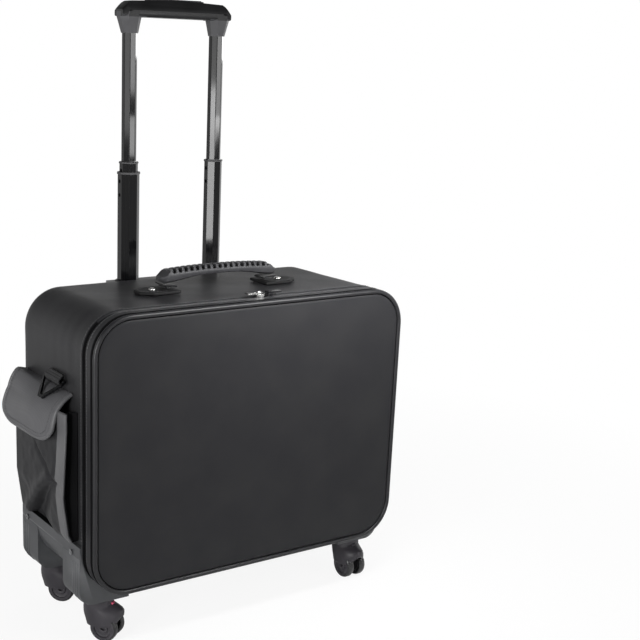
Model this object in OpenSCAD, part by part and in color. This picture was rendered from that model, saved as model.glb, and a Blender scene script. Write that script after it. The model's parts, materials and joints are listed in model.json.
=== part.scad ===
// Rolling makeup case: a soft-sided case on four swivel casters, with a telescopic trolley handle.
// X runs to the right seen from the front, -Y is the lid side, +Z is up, and the wheels stand on z = 0.

/* [Case] */
// Width of the case across its side walls
case_w = 460; // [420:1:520]
// Height of the case without base and wheels
case_h = 350; // [320:1:420]
// Depth of the body from the zip line to the back wall
body_d = 180; // [160:1:240]
// Depth of the lid from its front panel to the zip line
lid_d = 25; // [22:0.5:30]
// Radius of the four corners seen from the front
corner_r = 50; // [42:1:60]
// Radius of the edge between back wall and sides
back_r = 14; // [8:1:20]
// Thickness of the padded walls
wall = 6; // [4:0.5:7]
// Height of the case bottom above the floor
ground_h = 74; // [74:1:90]
// Diameter of the piping cord round the lid
piping_d = 6; // [4:0.5:7]
// How far the piping stands in front of the lid panel
piping_proud = 1.5; // [0.5:0.25:2]

/* [Zip and hinge] */
// Width of the open groove that holds the zip
zip_gap = 6; // [5:0.5:8]
// Depth of the zip tape below the outer surface
zip_inset = 2; // [1:0.25:2.5]
// Thickness of the zip tape
zip_t = 2.2; // [1.5:0.1:2.5]
// Place of the closed zip's meeting point, right of the middle
zip_meet_x = 20; // [0:1:60]
// Length of a zip slider
slider_l = 11; // [8:0.5:14]
// Width of a zip slider
slider_w = 9; // [8:0.5:12]
// Height of a zip slider above the case
slider_h = 3.4; // [2.5:0.1:5]
// Length of a zip pull
pull_l = 19; // [12:0.5:26]
// Width of a zip pull
pull_w = 6; // [4:0.5:8]
// Width of the fabric hinge strip
hinge_strip_w = 28; // [20:1:36]
// Thickness of the fabric hinge strip
hinge_strip_t = 1.4; // [1:0.1:2]

/* [Trolley] */
// Distance between the two trolley tubes
tube_gap = 132; // [120:1:160]
// Distance from the back wall to the tube axes
tube_y = 18; // [18:0.5:24]
// Width of the inner tube across its flats
stage3_w = 18.4; // [16:0.2:20]
// Wall of every trolley tube
tube_wall = 1.8; // [1.4:0.1:2]
// Running gap between one tube and the next
tube_play = 0.3; // [0.2:0.05:0.5]
// Distance from the case top down to the trolley housings' top
housing_drop = 6; // [2:1:40]
// Length of the trolley housings
housing_l = 290; // [260:1:300]
// Length of the middle and outer tubes
stage_l = 200; // [180:1:210]
// Height that the outer left tube stands out of its housing
stage1_out = 145; // [100:1:150]
// Height that the middle tubes stand out above the outer left tube
stage2_out = 14; // [8:1:40]
// Visible length of the inner tubes
stage3_out = 163; // [120:1:170]
// Length of the inner tubes inside the middle tubes
stage3_lap = 45; // [30:1:60]
// Height of a tube's rim that stays out when the trolley is pushed home
rim_h = 4; // [3:0.5:8]
// Width of the trolley grip at its corners
grip_w = 167; // [155:1:190]
// Height of the trolley grip from leg end to top
grip_h = 43; // [40:0.5:50]
// Depth of the trolley grip from front to back
grip_d = 28; // [26:0.5:34]
// Length of the release button
button_l = 84; // [50:1:90]
// Width of the release button
button_w = 10; // [8:0.5:12]
// Travel of the release button
button_travel = 3; // [2:0.25:4]
// Diameter of the release rods
rod_d = 4; // [3:0.5:5]
// Width of the trolley brackets
bracket_w = 200; // [190:1:230]
// Height of the trolley brackets
bracket_h = 54; // [40:1:70]
// Wall of the brackets behind the housings
bracket_wall = 2.2; // [2:0.2:4]

/* [Carry handle] */
// Length of the carry grip
carry_l = 176; // [150:1:200]
// Width of the carry grip
carry_w = 24; // [20:0.5:30]
// Thickness of the carry grip
carry_t = 14; // [10:0.5:18]
// Rise of the carry grip's arch in the middle
carry_rise = 5; // [3:0.5:10]
// Height of the carry grip's ends above the case
carry_lift = 12; // [9:0.5:16]
// Length of a handle plate
plate_l = 54; // [44:1:60]
// Width of a handle plate
plate_w = 40; // [30:1:50]
// Thickness of a handle plate
plate_t = 4; // [3:0.5:5]
// Distance from the middle of the case to a plate's inner end
plate_x = 65; // [58:1:70]
// Thickness of the handle straps
strap_t = 3; // [2:0.25:4]
// Diameter of a rivet head
rivet_d = 9; // [6:0.5:11]

/* [Side pockets] */
// Width of a side pocket from front to back
pocket_w = 132; // [100:1:140]
// Height of a side pocket
pocket_h = 162; // [120:1:165]
// Depth of a side pocket at its mouth
pocket_d = 22; // [18:0.5:26]
// Depth of a side pocket at its foot
pocket_foot_d = 15; // [10:0.5:20]
// Height of the pocket's foot above the case bottom
pocket_z = 66; // [66:1:90]
// Distance from the zip line to the pocket
pocket_y = 14; // [10:1:30]
// Thickness of the pocket's fabric
cloth_t = 2.4; // [1.5:0.1:3]
// Distance from the zip line to the flap
flap_y = 31; // [24:1:36]
// Width of the flap from front to back
flap_w = 132; // [110:1:140]
// Reach of the flap from the side wall
flap_reach = 36; // [34:0.5:42]
// Thickness of the flap
flap_t = 4; // [3:0.25:5]
// Radius of the flap's bow from its hinge line down
flap_bow = 46; // [42:1:52]
// Height of the flap
flap_h = 62; // [54:1:66]
// Radius of the flap's two lower corners
flap_r = 22; // [12:1:26]
// Gap between the pocket mouth and the flap's hinge line
flap_over = 20; // [18:1:26]
// Width of the webbing loop
loop_w = 40; // [18:1:44]
// Bar diameter of the strap ring
ring_d = 4; // [2:0.25:5]
// Length of the strap ring
ring_l = 30; // [24:1:40]

/* [Base and casters] */
// Thickness of the moulded base
base_t = 4; // [3:0.5:5]
// Height of the base on the side walls
base_h = 60; // [45:1:65]
// Reach of the base under the case
base_reach = 64; // [58:1:80]
// Length of a base leg at each end
leg_l = 48; // [44:1:52]
// Radius of a base leg's lower outer edge
leg_r = 20; // [12:1:24]
// Height of the arch between the legs above the case bottom
arch_h = 15; // [8:1:24]
// Distance from the side wall to the caster axis
caster_x = 33; // [28:1:40]
// Distance from the zip line or the back wall to the caster axis
caster_y = 26; // [26:1:30]
// Diameter of the wheels
wheel_d = 36; // [34:1:40]
// Width of one wheel
wheel_w = 11; // [8:0.5:13]
// Width of the web between the wheels
web_w = 8; // [6:0.5:10]
// Distance from the swivel axis back to the axle
trail = 12; // [10:0.5:16]
// Diameter of the axle
axle_d = 6; // [5:0.25:8]
// Diameter of the swivel stem
stem_d = 10; // [8:0.5:12]
// Diameter of the hood's round neck
neck_d = 38; // [32:1:38]
// Radial play of stem and axle
bearing_play = 0.05; // [0.02:0.01:0.1]
// Width of the red release tab
tab_w = 7; // [5:0.5:9]
// Height of the red release tab
tab_h = 5; // [4:0.5:6]
// Travel of the red release tab
tab_travel = 1.5; // [1:0.25:2]

/* [Inside] */
// Depth of the divider tray
tray_d = 74; // [50:1:80]
// Thickness of the bins, dividers and tray
board_t = 4; // [3:0.5:5]
// Number of cells in the tray's lower row
cells_low = 6; // [3:1:8]
// Number of cells in the tray's upper row
cells_high = 5; // [3:1:8]
// Clear depth kept behind the zip line for the stay straps
stay_room = 14; // [13:1:20]
// Width of a stay strap
stay_w = 18; // [12:1:25]
// Thickness of the panels in the lid
panel_t = 2; // [1.5:0.25:3]
// Thickness of the filled pockets in the lid
lid_pocket_t = 5; // [3:0.5:6]

/* [Hidden] */
$fn = 48;

// Small gaps between pieces that lie against each other, reach of a cut, and overlap inside one solid
seat = 0.2;
free_play = 0.3;
past = 1;
lap = 0.1;

// Tube sizes across the flats, from the inner tube outwards
stage2_in = stage3_w + 2 * tube_play;
stage2_w = stage2_in + 2 * tube_wall;
stage1_in = stage2_w + 2 * tube_play;
stage1_w = stage1_in + 2 * tube_wall;
housing_in = stage1_w + 2 * tube_play;
housing_w = housing_in + 2 * tube_wall;

// Planes of the case from front to back
trolley_d = tube_y + housing_w / 2 + seat + bracket_wall;
depth = piping_proud + lid_d + body_d + trolley_d;
front_y = -depth / 2 + piping_proud;
zip_y = front_y + lid_d;
back_y = zip_y + body_d;
rear_y = back_y + trolley_d;
middle_y = (front_y + back_y) / 2;
side_x = case_w / 2;
top_z = ground_h + case_h;

// Heights of the trolley
tube_x = tube_gap / 2;
tube_axis_y = back_y + tube_y;
housing_z = top_z - housing_drop;
stage1_z = housing_z + stage1_out;
stage2_z = stage1_z + stage2_out;
grip_z = stage2_z + stage3_out;
grip_top = grip_z + grip_h;
bar_z = grip_z + grip_h * 0.47;
stage2_more = 8;
lock_pitch = 18;
lock_drop = 12;
lock_d = 5;

// Screws, and their places across a bracket
screw_d = 7;
screw_h = 2;
BRACKET_SCREWS = [-tube_x / 2, 0, tube_x / 2];

// Carry handle
carry_r = (pow(carry_l / 2, 2) + pow(carry_rise, 2)) / (2 * carry_rise);
carry_z = top_z + carry_lift;

// Pockets and flaps
pocket_y0 = zip_y + pocket_y;
pocket_y1 = pocket_y0 + pocket_w;
pocket_z0 = ground_h + pocket_z;
mouth_z = pocket_z0 + pocket_h;
flap_z = mouth_z + flap_over;
flap_y0 = zip_y + flap_y;
flap_y1 = flap_y0 + flap_w;
loop_y = flap_y0 + flap_w * 0.28;
loop_h = 8;
loop_t = 2.4;
ring_z = flap_z + 11;
ring_x = side_x + loop_t + ring_d / 2 + free_play;
ring_lean = 47;
ring_t = ring_d * 0.8;
loop_in = ring_d / 2 + free_play;
loop_out = loop_in + loop_t;

// Casters: front left, front right, rear left, rear right, with the way each one trails at rest
caster_front_y = zip_y + caster_y;
caster_rear_y = back_y - caster_y;
axis_x = side_x - caster_x;
CASTERS = [
    [-axis_x, caster_front_y, -52],
    [axis_x, caster_front_y, -90],
    [-axis_x, caster_rear_y, -45],
    [axis_x, caster_rear_y, 160]
];
wheel_r = wheel_d / 2;
fender_t = 3;
fender_gap = 1;
fender_r = wheel_r + fender_gap + fender_t;
twin_w = web_w + 2 * free_play + 2 * wheel_w;
cheek_t = 2.4;
cheek_rise = 2;
hood_w = twin_w + 2 * fender_gap + 2 * cheek_t;
neck_z = wheel_d + fender_gap + fender_t - 0.5;
neck_h = 16;
socket_z = neck_z + neck_h + free_play;
socket_d = 32;
stem_l = 11;
tab_deep = 4;
tab_out = tab_travel + 0.5;

// Inside of the body
in_x = side_x - wall;
in_z0 = ground_h + wall;
in_z1 = top_z - wall;
in_y1 = back_y - wall;
in_r = corner_r - wall;
tray_y0 = in_y1 - tray_d;
bin_y0 = zip_y + stay_room;
bin_y1 = tray_y0 - seat;
bin_corner = in_r * (1 - cos(45)) + seat + free_play;
stay_x1 = in_x - free_play;
stay_z1 = ground_h + case_h * 0.57;
stay_z0 = ground_h + case_h * 0.36;
stay_spread = 10;
stay_t = 1.6;

// Outline of the case seen from the front, grown by g
module outline(g = 0) {
    w = case_w + 2 * g;
    h = case_h + 2 * g;
    r = corner_r + g;
    translate([0, ground_h - g]) round_rect(w, h, r);
}

// Rectangle with four round corners, its lower edge on y = 0
module round_rect(w, h, r) {
    translate([-w / 2 + r, 0]) square([w - 2 * r, h]);
    translate([-w / 2, r]) square([w, h - 2 * r]);
    for (x = [-w / 2 + r, w / 2 - r], y = [r, h - r])
        translate([x, y]) circle(r);
}

// Stretch a shape drawn in X and Z from y0 to y1
module along_y(y0, y1) {
    translate([0, y1, 0]) rotate([90, 0, 0]) linear_extrude(y1 - y0) children();
}

// Stretch a shape drawn in Y and Z from x0 to x1
module along_x(x0, x1) {
    translate([x0, 0, 0]) rotate([90, 0, 90]) linear_extrude(x1 - x0) children();
}

// Box between two corners
module box(a, b) {
    translate(a) cube(b - a);
}

// Eight-sided bar or tube, its flats square to X and Y
module octagon(w, z0, z1) {
    translate([0, 0, z0]) rotate(22.5) cylinder(h = z1 - z0, d = w / cos(22.5), $fn = 8);
}

module octagon_tube(w, w_in, z0, z1) {
    difference() {
        octagon(w, z0, z1);
        octagon(w_in, z0 - past, z1 + past);
    }
}

// Padded body: open at the zip line, with a rounded back edge
module body_shell() {
    steps = 4;
    y0 = zip_y + zip_gap / 2;
    color("#2b2b2d") difference() {
        hull() {
            along_y(y0, y0 + 1) outline();
            for (i = [0:steps]) {
                a = 90 * i / steps;
                y = back_y - back_r + back_r * sin(a);
                along_y(y - 0.01, y) outline(-back_r * (1 - cos(a)));
            }
        }
        along_y(y0 - past, in_y1) outline(-wall);
    }
}

// Padded lid: a panel with a narrow band, stepped for the piping
module lid_shell() {
    step_y = front_y + piping_d - piping_proud + seat;
    color("#2f2f31") difference() {
        union() {
            along_y(front_y, step_y + past) outline(-piping_d - seat);
            along_y(step_y, zip_y - zip_gap / 2) outline();
        }
        along_y(front_y + wall, zip_y) outline(-wall - seat);
    }
}

// Piping cord round the lid's front edge
module lid_piping() {
    r = piping_d / 2;
    bend = corner_r - r;
    x = side_x - corner_r;
    z0 = ground_h + corner_r;
    z1 = top_z - corner_r;
    color("#232324") translate([0, front_y - piping_proud + r, 0]) {
        for (s = [-1, 1]) {
            translate([s * (side_x - r), 0, z0]) cylinder(h = z1 - z0, r = r);
        }
        for (z = [ground_h + r, top_z - r])
            translate([-x, 0, z]) rotate([0, 90, 0]) cylinder(h = 2 * x, r = r);
        for (q = [[x, z1, 0], [-x, z1, 90], [-x, z0, 180], [x, z0, 270]])
            translate([q[0], 0, q[1]]) rotate([90, 0, 0]) rotate(q[2])
                rotate_extrude(angle = 90) translate([bend, 0]) circle(r);
    }
}

// Zip tape on three sides and round the corners, open along the hinge
module zip_tape(y0, y1) {
    color("#1b1b1c") difference() {
        along_y(y0, y1) outline(-zip_inset);
        along_y(y0 - past, y1 + past) outline(-zip_inset - zip_t);
        box([corner_r - side_x, y0 - past, ground_h - past],
            [side_x - corner_r, y1 + past, ground_h + zip_inset + zip_t + past]);
    }
}

module zip_tape_case() {
    zip_tape(zip_y + seat / 2, zip_y + zip_gap / 2);
}

module zip_tape_lid() {
    zip_tape(zip_y - zip_gap / 2, zip_y - seat / 2);
}

// Places of the two sliders, and the pin of the zip pulls
pin_r = 1.1;
slider_left_x = zip_meet_x - slider_l / 2 - 1;
slider_right_x = zip_meet_x + slider_l / 2 + 1;
pin_z = top_z + free_play + slider_h + pin_r + free_play;

// Zip slider with a keel in the groove and a bored lug for the pull
module slider(x) {
    z = top_z + free_play;
    keel = zip_gap - 2 * free_play;
    shoulder = 1;
    bridge = 1.4;
    lug = 4.4;
    color("#8d8f92") translate([x, zip_y, 0]) {
        difference() {
            box([-slider_l / 2, -slider_w / 2, z], [slider_l / 2, slider_w / 2, z + slider_h]);
            for (s = [-1, 1], e = [-1, 1])
                translate([e * slider_l / 2, s * slider_w / 2, z + slider_h / 2])
                    cube([slider_l / 2, 2 * shoulder, slider_h + 2 * past], center = true);
        }
        box([-slider_l / 2, -keel / 2, top_z - zip_inset + free_play], [slider_l / 2, keel / 2, z + past]);
        difference() {
            box([-lug / 2, -bridge / 2, z + slider_h - past], [lug / 2, bridge / 2, pin_z + lug / 2]);
            translate([0, 0, pin_z]) rotate([90, 0, 0]) cylinder(h = slider_w, r = pin_r, center = true);
        }
    }
}

// Zip pull: a pin through the slider's bridge and a flat tab that lies along the zip
module pull(x, way) {
    arm = 2;
    half_t = 0.8;
    color("#9b9da0") translate([x, zip_y, pin_z]) mirror([way > 0 ? 0 : 1, 0, 0]) {
        rotate([90, 0, 0]) cylinder(h = pull_w, r = pin_r - bearing_play, center = true);
        for (s = [-1, 1])
            box([-pin_r, s * pull_w / 2 - arm / 2, -half_t], [slider_l / 2 + arm, s * pull_w / 2 + arm / 2, half_t]);
        box([slider_l / 2 + 1, -pull_w / 2 - arm / 2, -half_t], [pull_l, pull_w / 2 + arm / 2, half_t]);
    }
}

module slider_left() { slider(slider_left_x); }
module slider_right() { slider(slider_right_x); }
module pull_left() { pull(slider_left_x, -1); }
module pull_right() { pull(slider_right_x, 1); }

// Fabric hinge under the zip line
module hinge_strip() {
    x = side_x - max(corner_r, base_reach + seat);
    color("#262627") box([-x, zip_y - hinge_strip_w / 2, ground_h - hinge_strip_t],
        [x, zip_y + hinge_strip_w / 2, ground_h]);
}

// Stay straps, hanging in a fold between lid and body beside each side wall
module stay_straps() {
    fold = [
        [zip_y + stay_spread, stay_z1], [zip_y + stay_t, stay_z0], [zip_y - stay_t, stay_z0],
        [zip_y - stay_spread, stay_z1], [zip_y - stay_spread + stay_t, stay_z1 + stay_t],
        [zip_y, stay_z0 + 4 * stay_t], [zip_y + stay_spread - stay_t, stay_z1 + stay_t]
    ];
    color("#1d1d1e") for (s = [-1, 1]) {
        x = s * (stay_x1 - stay_w / 2);
        along_x(x - stay_w / 2, x + stay_w / 2) polygon(fold);
    }
}

// Half width of the panel inside the lid, and the hem round what is sewn on it
lid_panel_x = in_x - 12;
hem = 4;

// Pocket panel inside the lid, with brush loops above the pleated pockets
module lid_pockets() {
    y0 = front_y + wall;
    x0 = -side_x * 0.24 + hem;
    x1 = lid_panel_x - hem;
    z0 = ground_h + case_h * 0.12;
    z1 = top_z - case_h * 0.12;
    pleats = 5;
    pleat_gap = 1;
    loop_row_h = 14;
    pitch = (x1 - x0) / pleats;
    color("#2a2a2c") {
        box([-lid_panel_x, y0, z0], [lid_panel_x, y0 + panel_t, z1]);
        for (i = [0:pleats - 1])
            box([x0 + i * pitch + pleat_gap, y0 + panel_t - lap, z0 + hem],
                [x0 + (i + 1) * pitch - pleat_gap, y0 + panel_t + lid_pocket_t, z0 + case_h * 0.21]);
        for (k = [0.25, 0.31])
            box([x0, y0 + panel_t - lap, z0 + case_h * k],
                [x1, y0 + panel_t + lid_pocket_t * 0.7, z0 + case_h * k + loop_row_h]);
    }
}

// Mesh pocket beside the pocket panel
module mesh_pocket() {
    y0 = front_y + wall + panel_t;
    x0 = hem - lid_panel_x;
    x1 = -side_x * 0.26;
    z0 = ground_h + case_h * 0.14;
    z1 = top_z - case_h * 0.14;
    color("#3a3a3c") box([x0, y0, z0], [x1, y0 + lid_pocket_t * 0.6, z1]);
}

// Clear flap that folds down over the brushes
module clear_flap() {
    y0 = front_y + wall + panel_t;
    x0 = -side_x * 0.22;
    x1 = lid_panel_x - hem;
    z0 = ground_h + case_h * 0.5;
    z1 = top_z - case_h * 0.13;
    color("#4a4b4d") box([x0, y0, z0], [x1, y0 + panel_t, z1]);
}

// Open bin: its mouth faces the lid
module bin(x0, x1, z0, z1) {
    color("#222224") difference() {
        box([x0, bin_y0, z0], [x1, bin_y1, z1]);
        box([x0 + board_t, bin_y0 - past, z0 + board_t], [x1 - board_t, bin_y1 - board_t, z1 - board_t]);
    }
}

bin_x = in_x - bin_corner;
bin_z0 = in_z0 + bin_corner;
bin_z1 = in_z1 - bin_corner;
bin_step = 2 * bin_x / 3;
bin_split = (bin_z0 + bin_z1) / 2;

module bin_left() { bin(bin_x - bin_step + seat, bin_x, bin_z0, bin_z1); }
module bin_centre() { bin(bin_x - 2 * bin_step + seat, bin_x - bin_step - seat, bin_z0, bin_z1); }
module bin_right_low() { bin(-bin_x, bin_x - 2 * bin_step - seat, bin_z0, bin_split - seat); }
module bin_right_high() { bin(-bin_x, bin_x - 2 * bin_step - seat, bin_split + seat, bin_z1); }

// Divider tray on the back wall
module divider_tray() {
    color("#1f1f21") difference() {
        box([-bin_x, tray_y0, bin_z0], [bin_x, in_y1, bin_z1]);
        box([-bin_x + board_t, tray_y0 - past, bin_z0 + board_t], [bin_x - board_t, in_y1 - board_t, bin_z1 - board_t]);
    }
}

// One long divider and the short ones that make the cells
module dividers() {
    x = bin_x - board_t - seat;
    y1 = in_y1 - board_t - seat;
    z0 = bin_z0 + board_t + seat;
    z1 = bin_z1 - board_t - seat;
    color("#262628") {
        box([-x, tray_y0, bin_split - board_t / 2], [x, y1, bin_split + board_t / 2]);
        for (i = [1:cells_low - 1]) {
            c = -x + 2 * x * i / cells_low;
            box([c - board_t / 2, tray_y0, z0], [c + board_t / 2, y1, bin_split - board_t / 2 - seat]);
        }
        for (i = [1:cells_high - 1]) {
            c = -x + 2 * x * i / cells_high;
            box([c - board_t / 2, tray_y0, bin_split + board_t / 2 + seat], [c + board_t / 2, y1, z1]);
        }
    }
}

// Bracket on the back wall that clasps both housings
module bracket() {
    chamfer = 10;
    w = bracket_w / 2;
    color("#343537") difference() {
        linear_extrude(bracket_h) polygon([
            [-w, back_y], [w, back_y], [w, back_y + trolley_d * 0.45], [w - chamfer, rear_y],
            [chamfer - w, rear_y], [-w, back_y + trolley_d * 0.45]
        ]);
        for (s = [-1, 1])
            translate([s * tube_x, tube_axis_y, 0]) octagon(housing_w + 2 * seat, -past, bracket_h + past);
        for (x = BRACKET_SCREWS)
            translate([x, rear_y + past, bracket_h / 2]) rotate([90, 0, 0])
                cylinder(h = screw_h + seat + free_play + past, d = screw_d + 2 * free_play);
    }
}

housing_foot = 6;
bracket_top_z = housing_z - bracket_h - 2;
bracket_low_z = housing_z - housing_l + housing_foot;

module trolley_top_bracket() { translate([0, 0, bracket_top_z]) bracket(); }
module trolley_bottom_bracket() { translate([0, 0, bracket_low_z]) bracket(); }

// Trolley housing with a closed foot
module housing(side) {
    z0 = housing_z - housing_l;
    color("#3a3b3d") translate([side * tube_x, tube_axis_y, 0]) {
        octagon_tube(housing_w, housing_in, z0, housing_z);
        octagon(housing_in, z0, z0 + housing_foot);
    }
}

// Telescoping tube with two lock holes near its top
module stage(side, w, w_in, top, l) {
    translate([side * tube_x, tube_axis_y, 0]) difference() {
        octagon_tube(w, w_in, top - l, top);
        for (k = [0, 1])
            translate([-w / 2 - past, 0, top - lock_drop - k * lock_pitch]) rotate([0, 90, 0])
                cylinder(h = tube_wall + 2 * past, d = lock_d);
    }
}

module housing_left() { housing(-1); }
module housing_right() { housing(1); }
module stage1_left() { color("#46474a") stage(-1, stage1_w, stage1_in, stage1_z, stage_l); }
module stage1_right() { color("#46474a") stage(1, stage1_w, stage1_in, housing_z + rim_h, stage_l); }
module stage2_left() { color("#55565a") stage(-1, stage2_w, stage2_in, stage2_z, stage_l + stage2_more); }
module stage2_right() { color("#55565a") stage(1, stage2_w, stage2_in, stage2_z, stage_l + stage2_more); }

// Inner tube, pushed into the grip's leg at its top
leg_socket = 22;

module stage3(side) {
    color("#606166") translate([side * tube_x, tube_axis_y, 0])
        octagon_tube(stage3_w, stage3_w - 2 * tube_wall, stage2_z - stage3_lap, grip_z + leg_socket);
}

module stage3_left() { stage3(-1); }
module stage3_right() { stage3(1); }

// Trolley grip: two tapered legs under a faceted bar, hollow for the release linkage
linkage_h = 3.4;
linkage_z = grip_z + leg_socket + 3 + button_travel + free_play;
linkage_y = 4;
button_z = linkage_z + linkage_h;

module trolley_grip() {
    w = grip_w / 2;
    leg_in = tube_x - stage3_w / 2 - tube_wall / 2;
    leg_out = tube_x + stage3_w / 2 + tube_wall / 2;
    bar_in = tube_x - (w - tube_x) * 0.85;
    shoulder = 13;
    color("#2a2b2d") difference() {
        intersection() {
            along_y(tube_axis_y - grip_d, tube_axis_y + grip_d) polygon([
                [-leg_out, grip_z], [-w, grip_z + grip_h * 0.52], [-w, grip_z + grip_h * 0.66],
                [shoulder - w, grip_top - 3], [0, grip_top], [w - shoulder, grip_top - 3],
                [w, grip_z + grip_h * 0.66], [w, grip_z + grip_h * 0.52], [leg_out, grip_z],
                [leg_in, grip_z], [bar_in, bar_z], [-bar_in, bar_z], [-leg_in, grip_z]
            ]);
            translate([0, tube_axis_y, 0]) along_x(-grip_w, grip_w) polygon([
                [-leg_out + tube_x, grip_z], [-grip_d / 2 + 1, bar_z], [-grip_d / 2, grip_z + grip_h * 0.66],
                [-grip_d / 3, grip_top + past], [grip_d / 3, grip_top + past], [grip_d / 2, grip_z + grip_h * 0.66],
                [grip_d / 2 - 1, bar_z], [leg_out - tube_x, grip_z]
            ]);
        }
        translate([0, tube_axis_y, 0]) {
            for (s = [-1, 1]) translate([s * tube_x, 0, 0]) {
                octagon(stage3_w + seat, grip_z - past, grip_z + leg_socket + seat);
                cylinder(h = linkage_z + past, d = rod_d + 2 * free_play);
            }
            box([-tube_x - rod_d / 2 - 1, -linkage_y - free_play, linkage_z - button_travel - free_play],
                [tube_x + rod_d / 2 + 1, linkage_y + free_play, button_z + free_play]);
            box([-button_l / 2 - free_play, -button_w / 2 - free_play, button_z - button_travel - free_play],
                [button_l / 2 + free_play, button_w / 2 + free_play, grip_top + past]);
        }
    }
}

// Release button in the top of the grip
module release_button() {
    proud = 1;
    bevel_x = 3;
    bevel_y = 1;
    color("#6d6f73") translate([0, tube_axis_y, 0]) {
        box([-button_l / 2, -button_w / 2, button_z], [button_l / 2, button_w / 2, grip_top]);
        box([-button_l / 2 + bevel_x, -button_w / 2 + bevel_y, grip_top - lap],
            [button_l / 2 - bevel_x, button_w / 2 - bevel_y, grip_top + proud]);
    }
}

// Cross bar and two rods that carry the button's push down to the locks
module release_linkage() {
    rod_z0 = stage2_z - stage3_lap + 8;
    color("#7f8184") translate([0, tube_axis_y, 0]) {
        box([-tube_x - rod_d / 2, -linkage_y, linkage_z], [tube_x + rod_d / 2, linkage_y, button_z]);
        for (s = [-1, 1])
            translate([s * tube_x, 0, rod_z0]) cylinder(h = linkage_z - rod_z0 + lap, d = rod_d);
    }
}

// Plates that hold the carry handle
module handle_plates() {
    color("#333436") for (s = [-1, 1]) mirror([s > 0 ? 0 : 1, 0, 0])
        translate([0, middle_y, top_z + seat]) linear_extrude(plate_t) polygon([
            [plate_x, -plate_w / 2], [plate_x + plate_l * 0.72, -plate_w / 2], [plate_x + plate_l, -plate_w / 5],
            [plate_x + plate_l, plate_w / 5], [plate_x + plate_l * 0.72, plate_w / 2], [plate_x, plate_w / 2]
        ]);
}

// Rivets through the plates
module handle_rivets() {
    head = 2;
    color("#b9bbbe") for (s = [-1, 1])
        translate([s * (plate_x + plate_l * 0.58), middle_y, top_z + seat + plate_t + seat / 2])
            rotate_extrude() polygon([[0, 0], [rivet_d / 2, 0], [rivet_d / 2, head / 2], [rivet_d / 4, head], [0, head]]);
}

// Folded straps from the plates up to the grip's ends
module handle_straps() {
    z = top_z + seat + plate_t + seat;
    top = carry_z - seat;
    x0 = plate_x + 1;
    x1 = carry_l / 2 - 4;
    color("#2c2d2f") for (s = [-1, 1]) mirror([s > 0 ? 0 : 1, 0, 0])
        along_y(middle_y - carry_w / 2 + 1, middle_y + carry_w / 2 - 1) polygon([
            [x0, z], [x0 + 12, z], [x0 + 12, z + strap_t * 0.4], [x0 + strap_t, z + strap_t * 0.6],
            [x0 + strap_t + 3, z + (top - z) * 0.55], [x1, top - strap_t * 0.4], [x1, top],
            [x0 + 6, top], [x0 - 1, z + (top - z) * 0.55]
        ]);
}

// Arched grip of the carry handle
module carry_grip() {
    half = asin(carry_l / 2 / carry_r);
    r0 = carry_r - carry_rise;
    color("#303133") translate([0, middle_y, carry_z + carry_t / 2 - r0]) rotate([90, 0, 0]) rotate(90 - half)
        rotate_extrude(angle = 2 * half, $fn = 720) translate([carry_r, 0]) {
            square([carry_t, carry_w - carry_t], center = true);
            for (s = [-1, 1]) translate([0, s * (carry_w - carry_t) / 2]) circle(carry_t / 2, $fn = 48);
        }
}

// Side pocket, open at its top, for the right side
module pocket() {
    foot = pocket_z0;
    toe = foot + pocket_h * 0.05;
    belly = pocket_z0 + pocket_h * 0.62;
    shoulder = belly + pocket_h * 0.087;
    slack = 2;
    color("#343537") translate([side_x + seat, 0, 0]) difference() {
        along_y(pocket_y0, pocket_y1) polygon([
            [0, foot], [pocket_foot_d * 0.7, foot], [pocket_foot_d, toe], [pocket_d - slack, belly],
            [pocket_d, shoulder], [pocket_d, mouth_z], [0, mouth_z]
        ]);
        along_y(pocket_y0 + cloth_t, pocket_y1 - cloth_t) polygon([
            [cloth_t, foot + cloth_t], [pocket_foot_d * 0.7 - cloth_t, foot + cloth_t],
            [pocket_foot_d - cloth_t, toe + past], [pocket_d - slack - cloth_t, belly],
            [pocket_d - cloth_t, shoulder + past], [pocket_d - cloth_t, mouth_z + past], [cloth_t, mouth_z + past]
        ]);
    }
}

module pocket_left() { mirror([1, 0, 0]) pocket(); }
module pocket_right() { pocket(); }

// Flap over the pocket's mouth, for the right side: one bow from the hinge line down
flap_x = side_x + free_play;
flap_low_z = flap_z - flap_h;
flap_back = flap_bow - flap_reach;
flap_sink = sqrt(pow(flap_bow, 2) - pow(flap_back, 2));

module flap() {
    y0 = flap_y0;
    y1 = flap_y1;
    color("#363739") intersection() {
        along_y(y0, y1) intersection() {
            translate([flap_x - flap_back, flap_z - flap_sink]) difference() {
                circle(flap_bow);
                circle(flap_bow - flap_t);
            }
            translate([flap_x, flap_low_z - past]) square([flap_reach + past, flap_h + 2 * past]);
        }
        along_x(side_x, flap_x + flap_reach + past) {
            translate([y0 + flap_r, flap_low_z]) square([y1 - y0 - 2 * flap_r, flap_h + past]);
            translate([y0, flap_low_z + flap_r]) square([y1 - y0, flap_h - flap_r + past]);
            for (y = [y0 + flap_r, y1 - flap_r]) translate([y, flap_low_z + flap_r]) circle(flap_r);
        }
    }
}

module flap_left() { mirror([1, 0, 0]) flap(); }
module flap_right() { flap(); }

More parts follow.
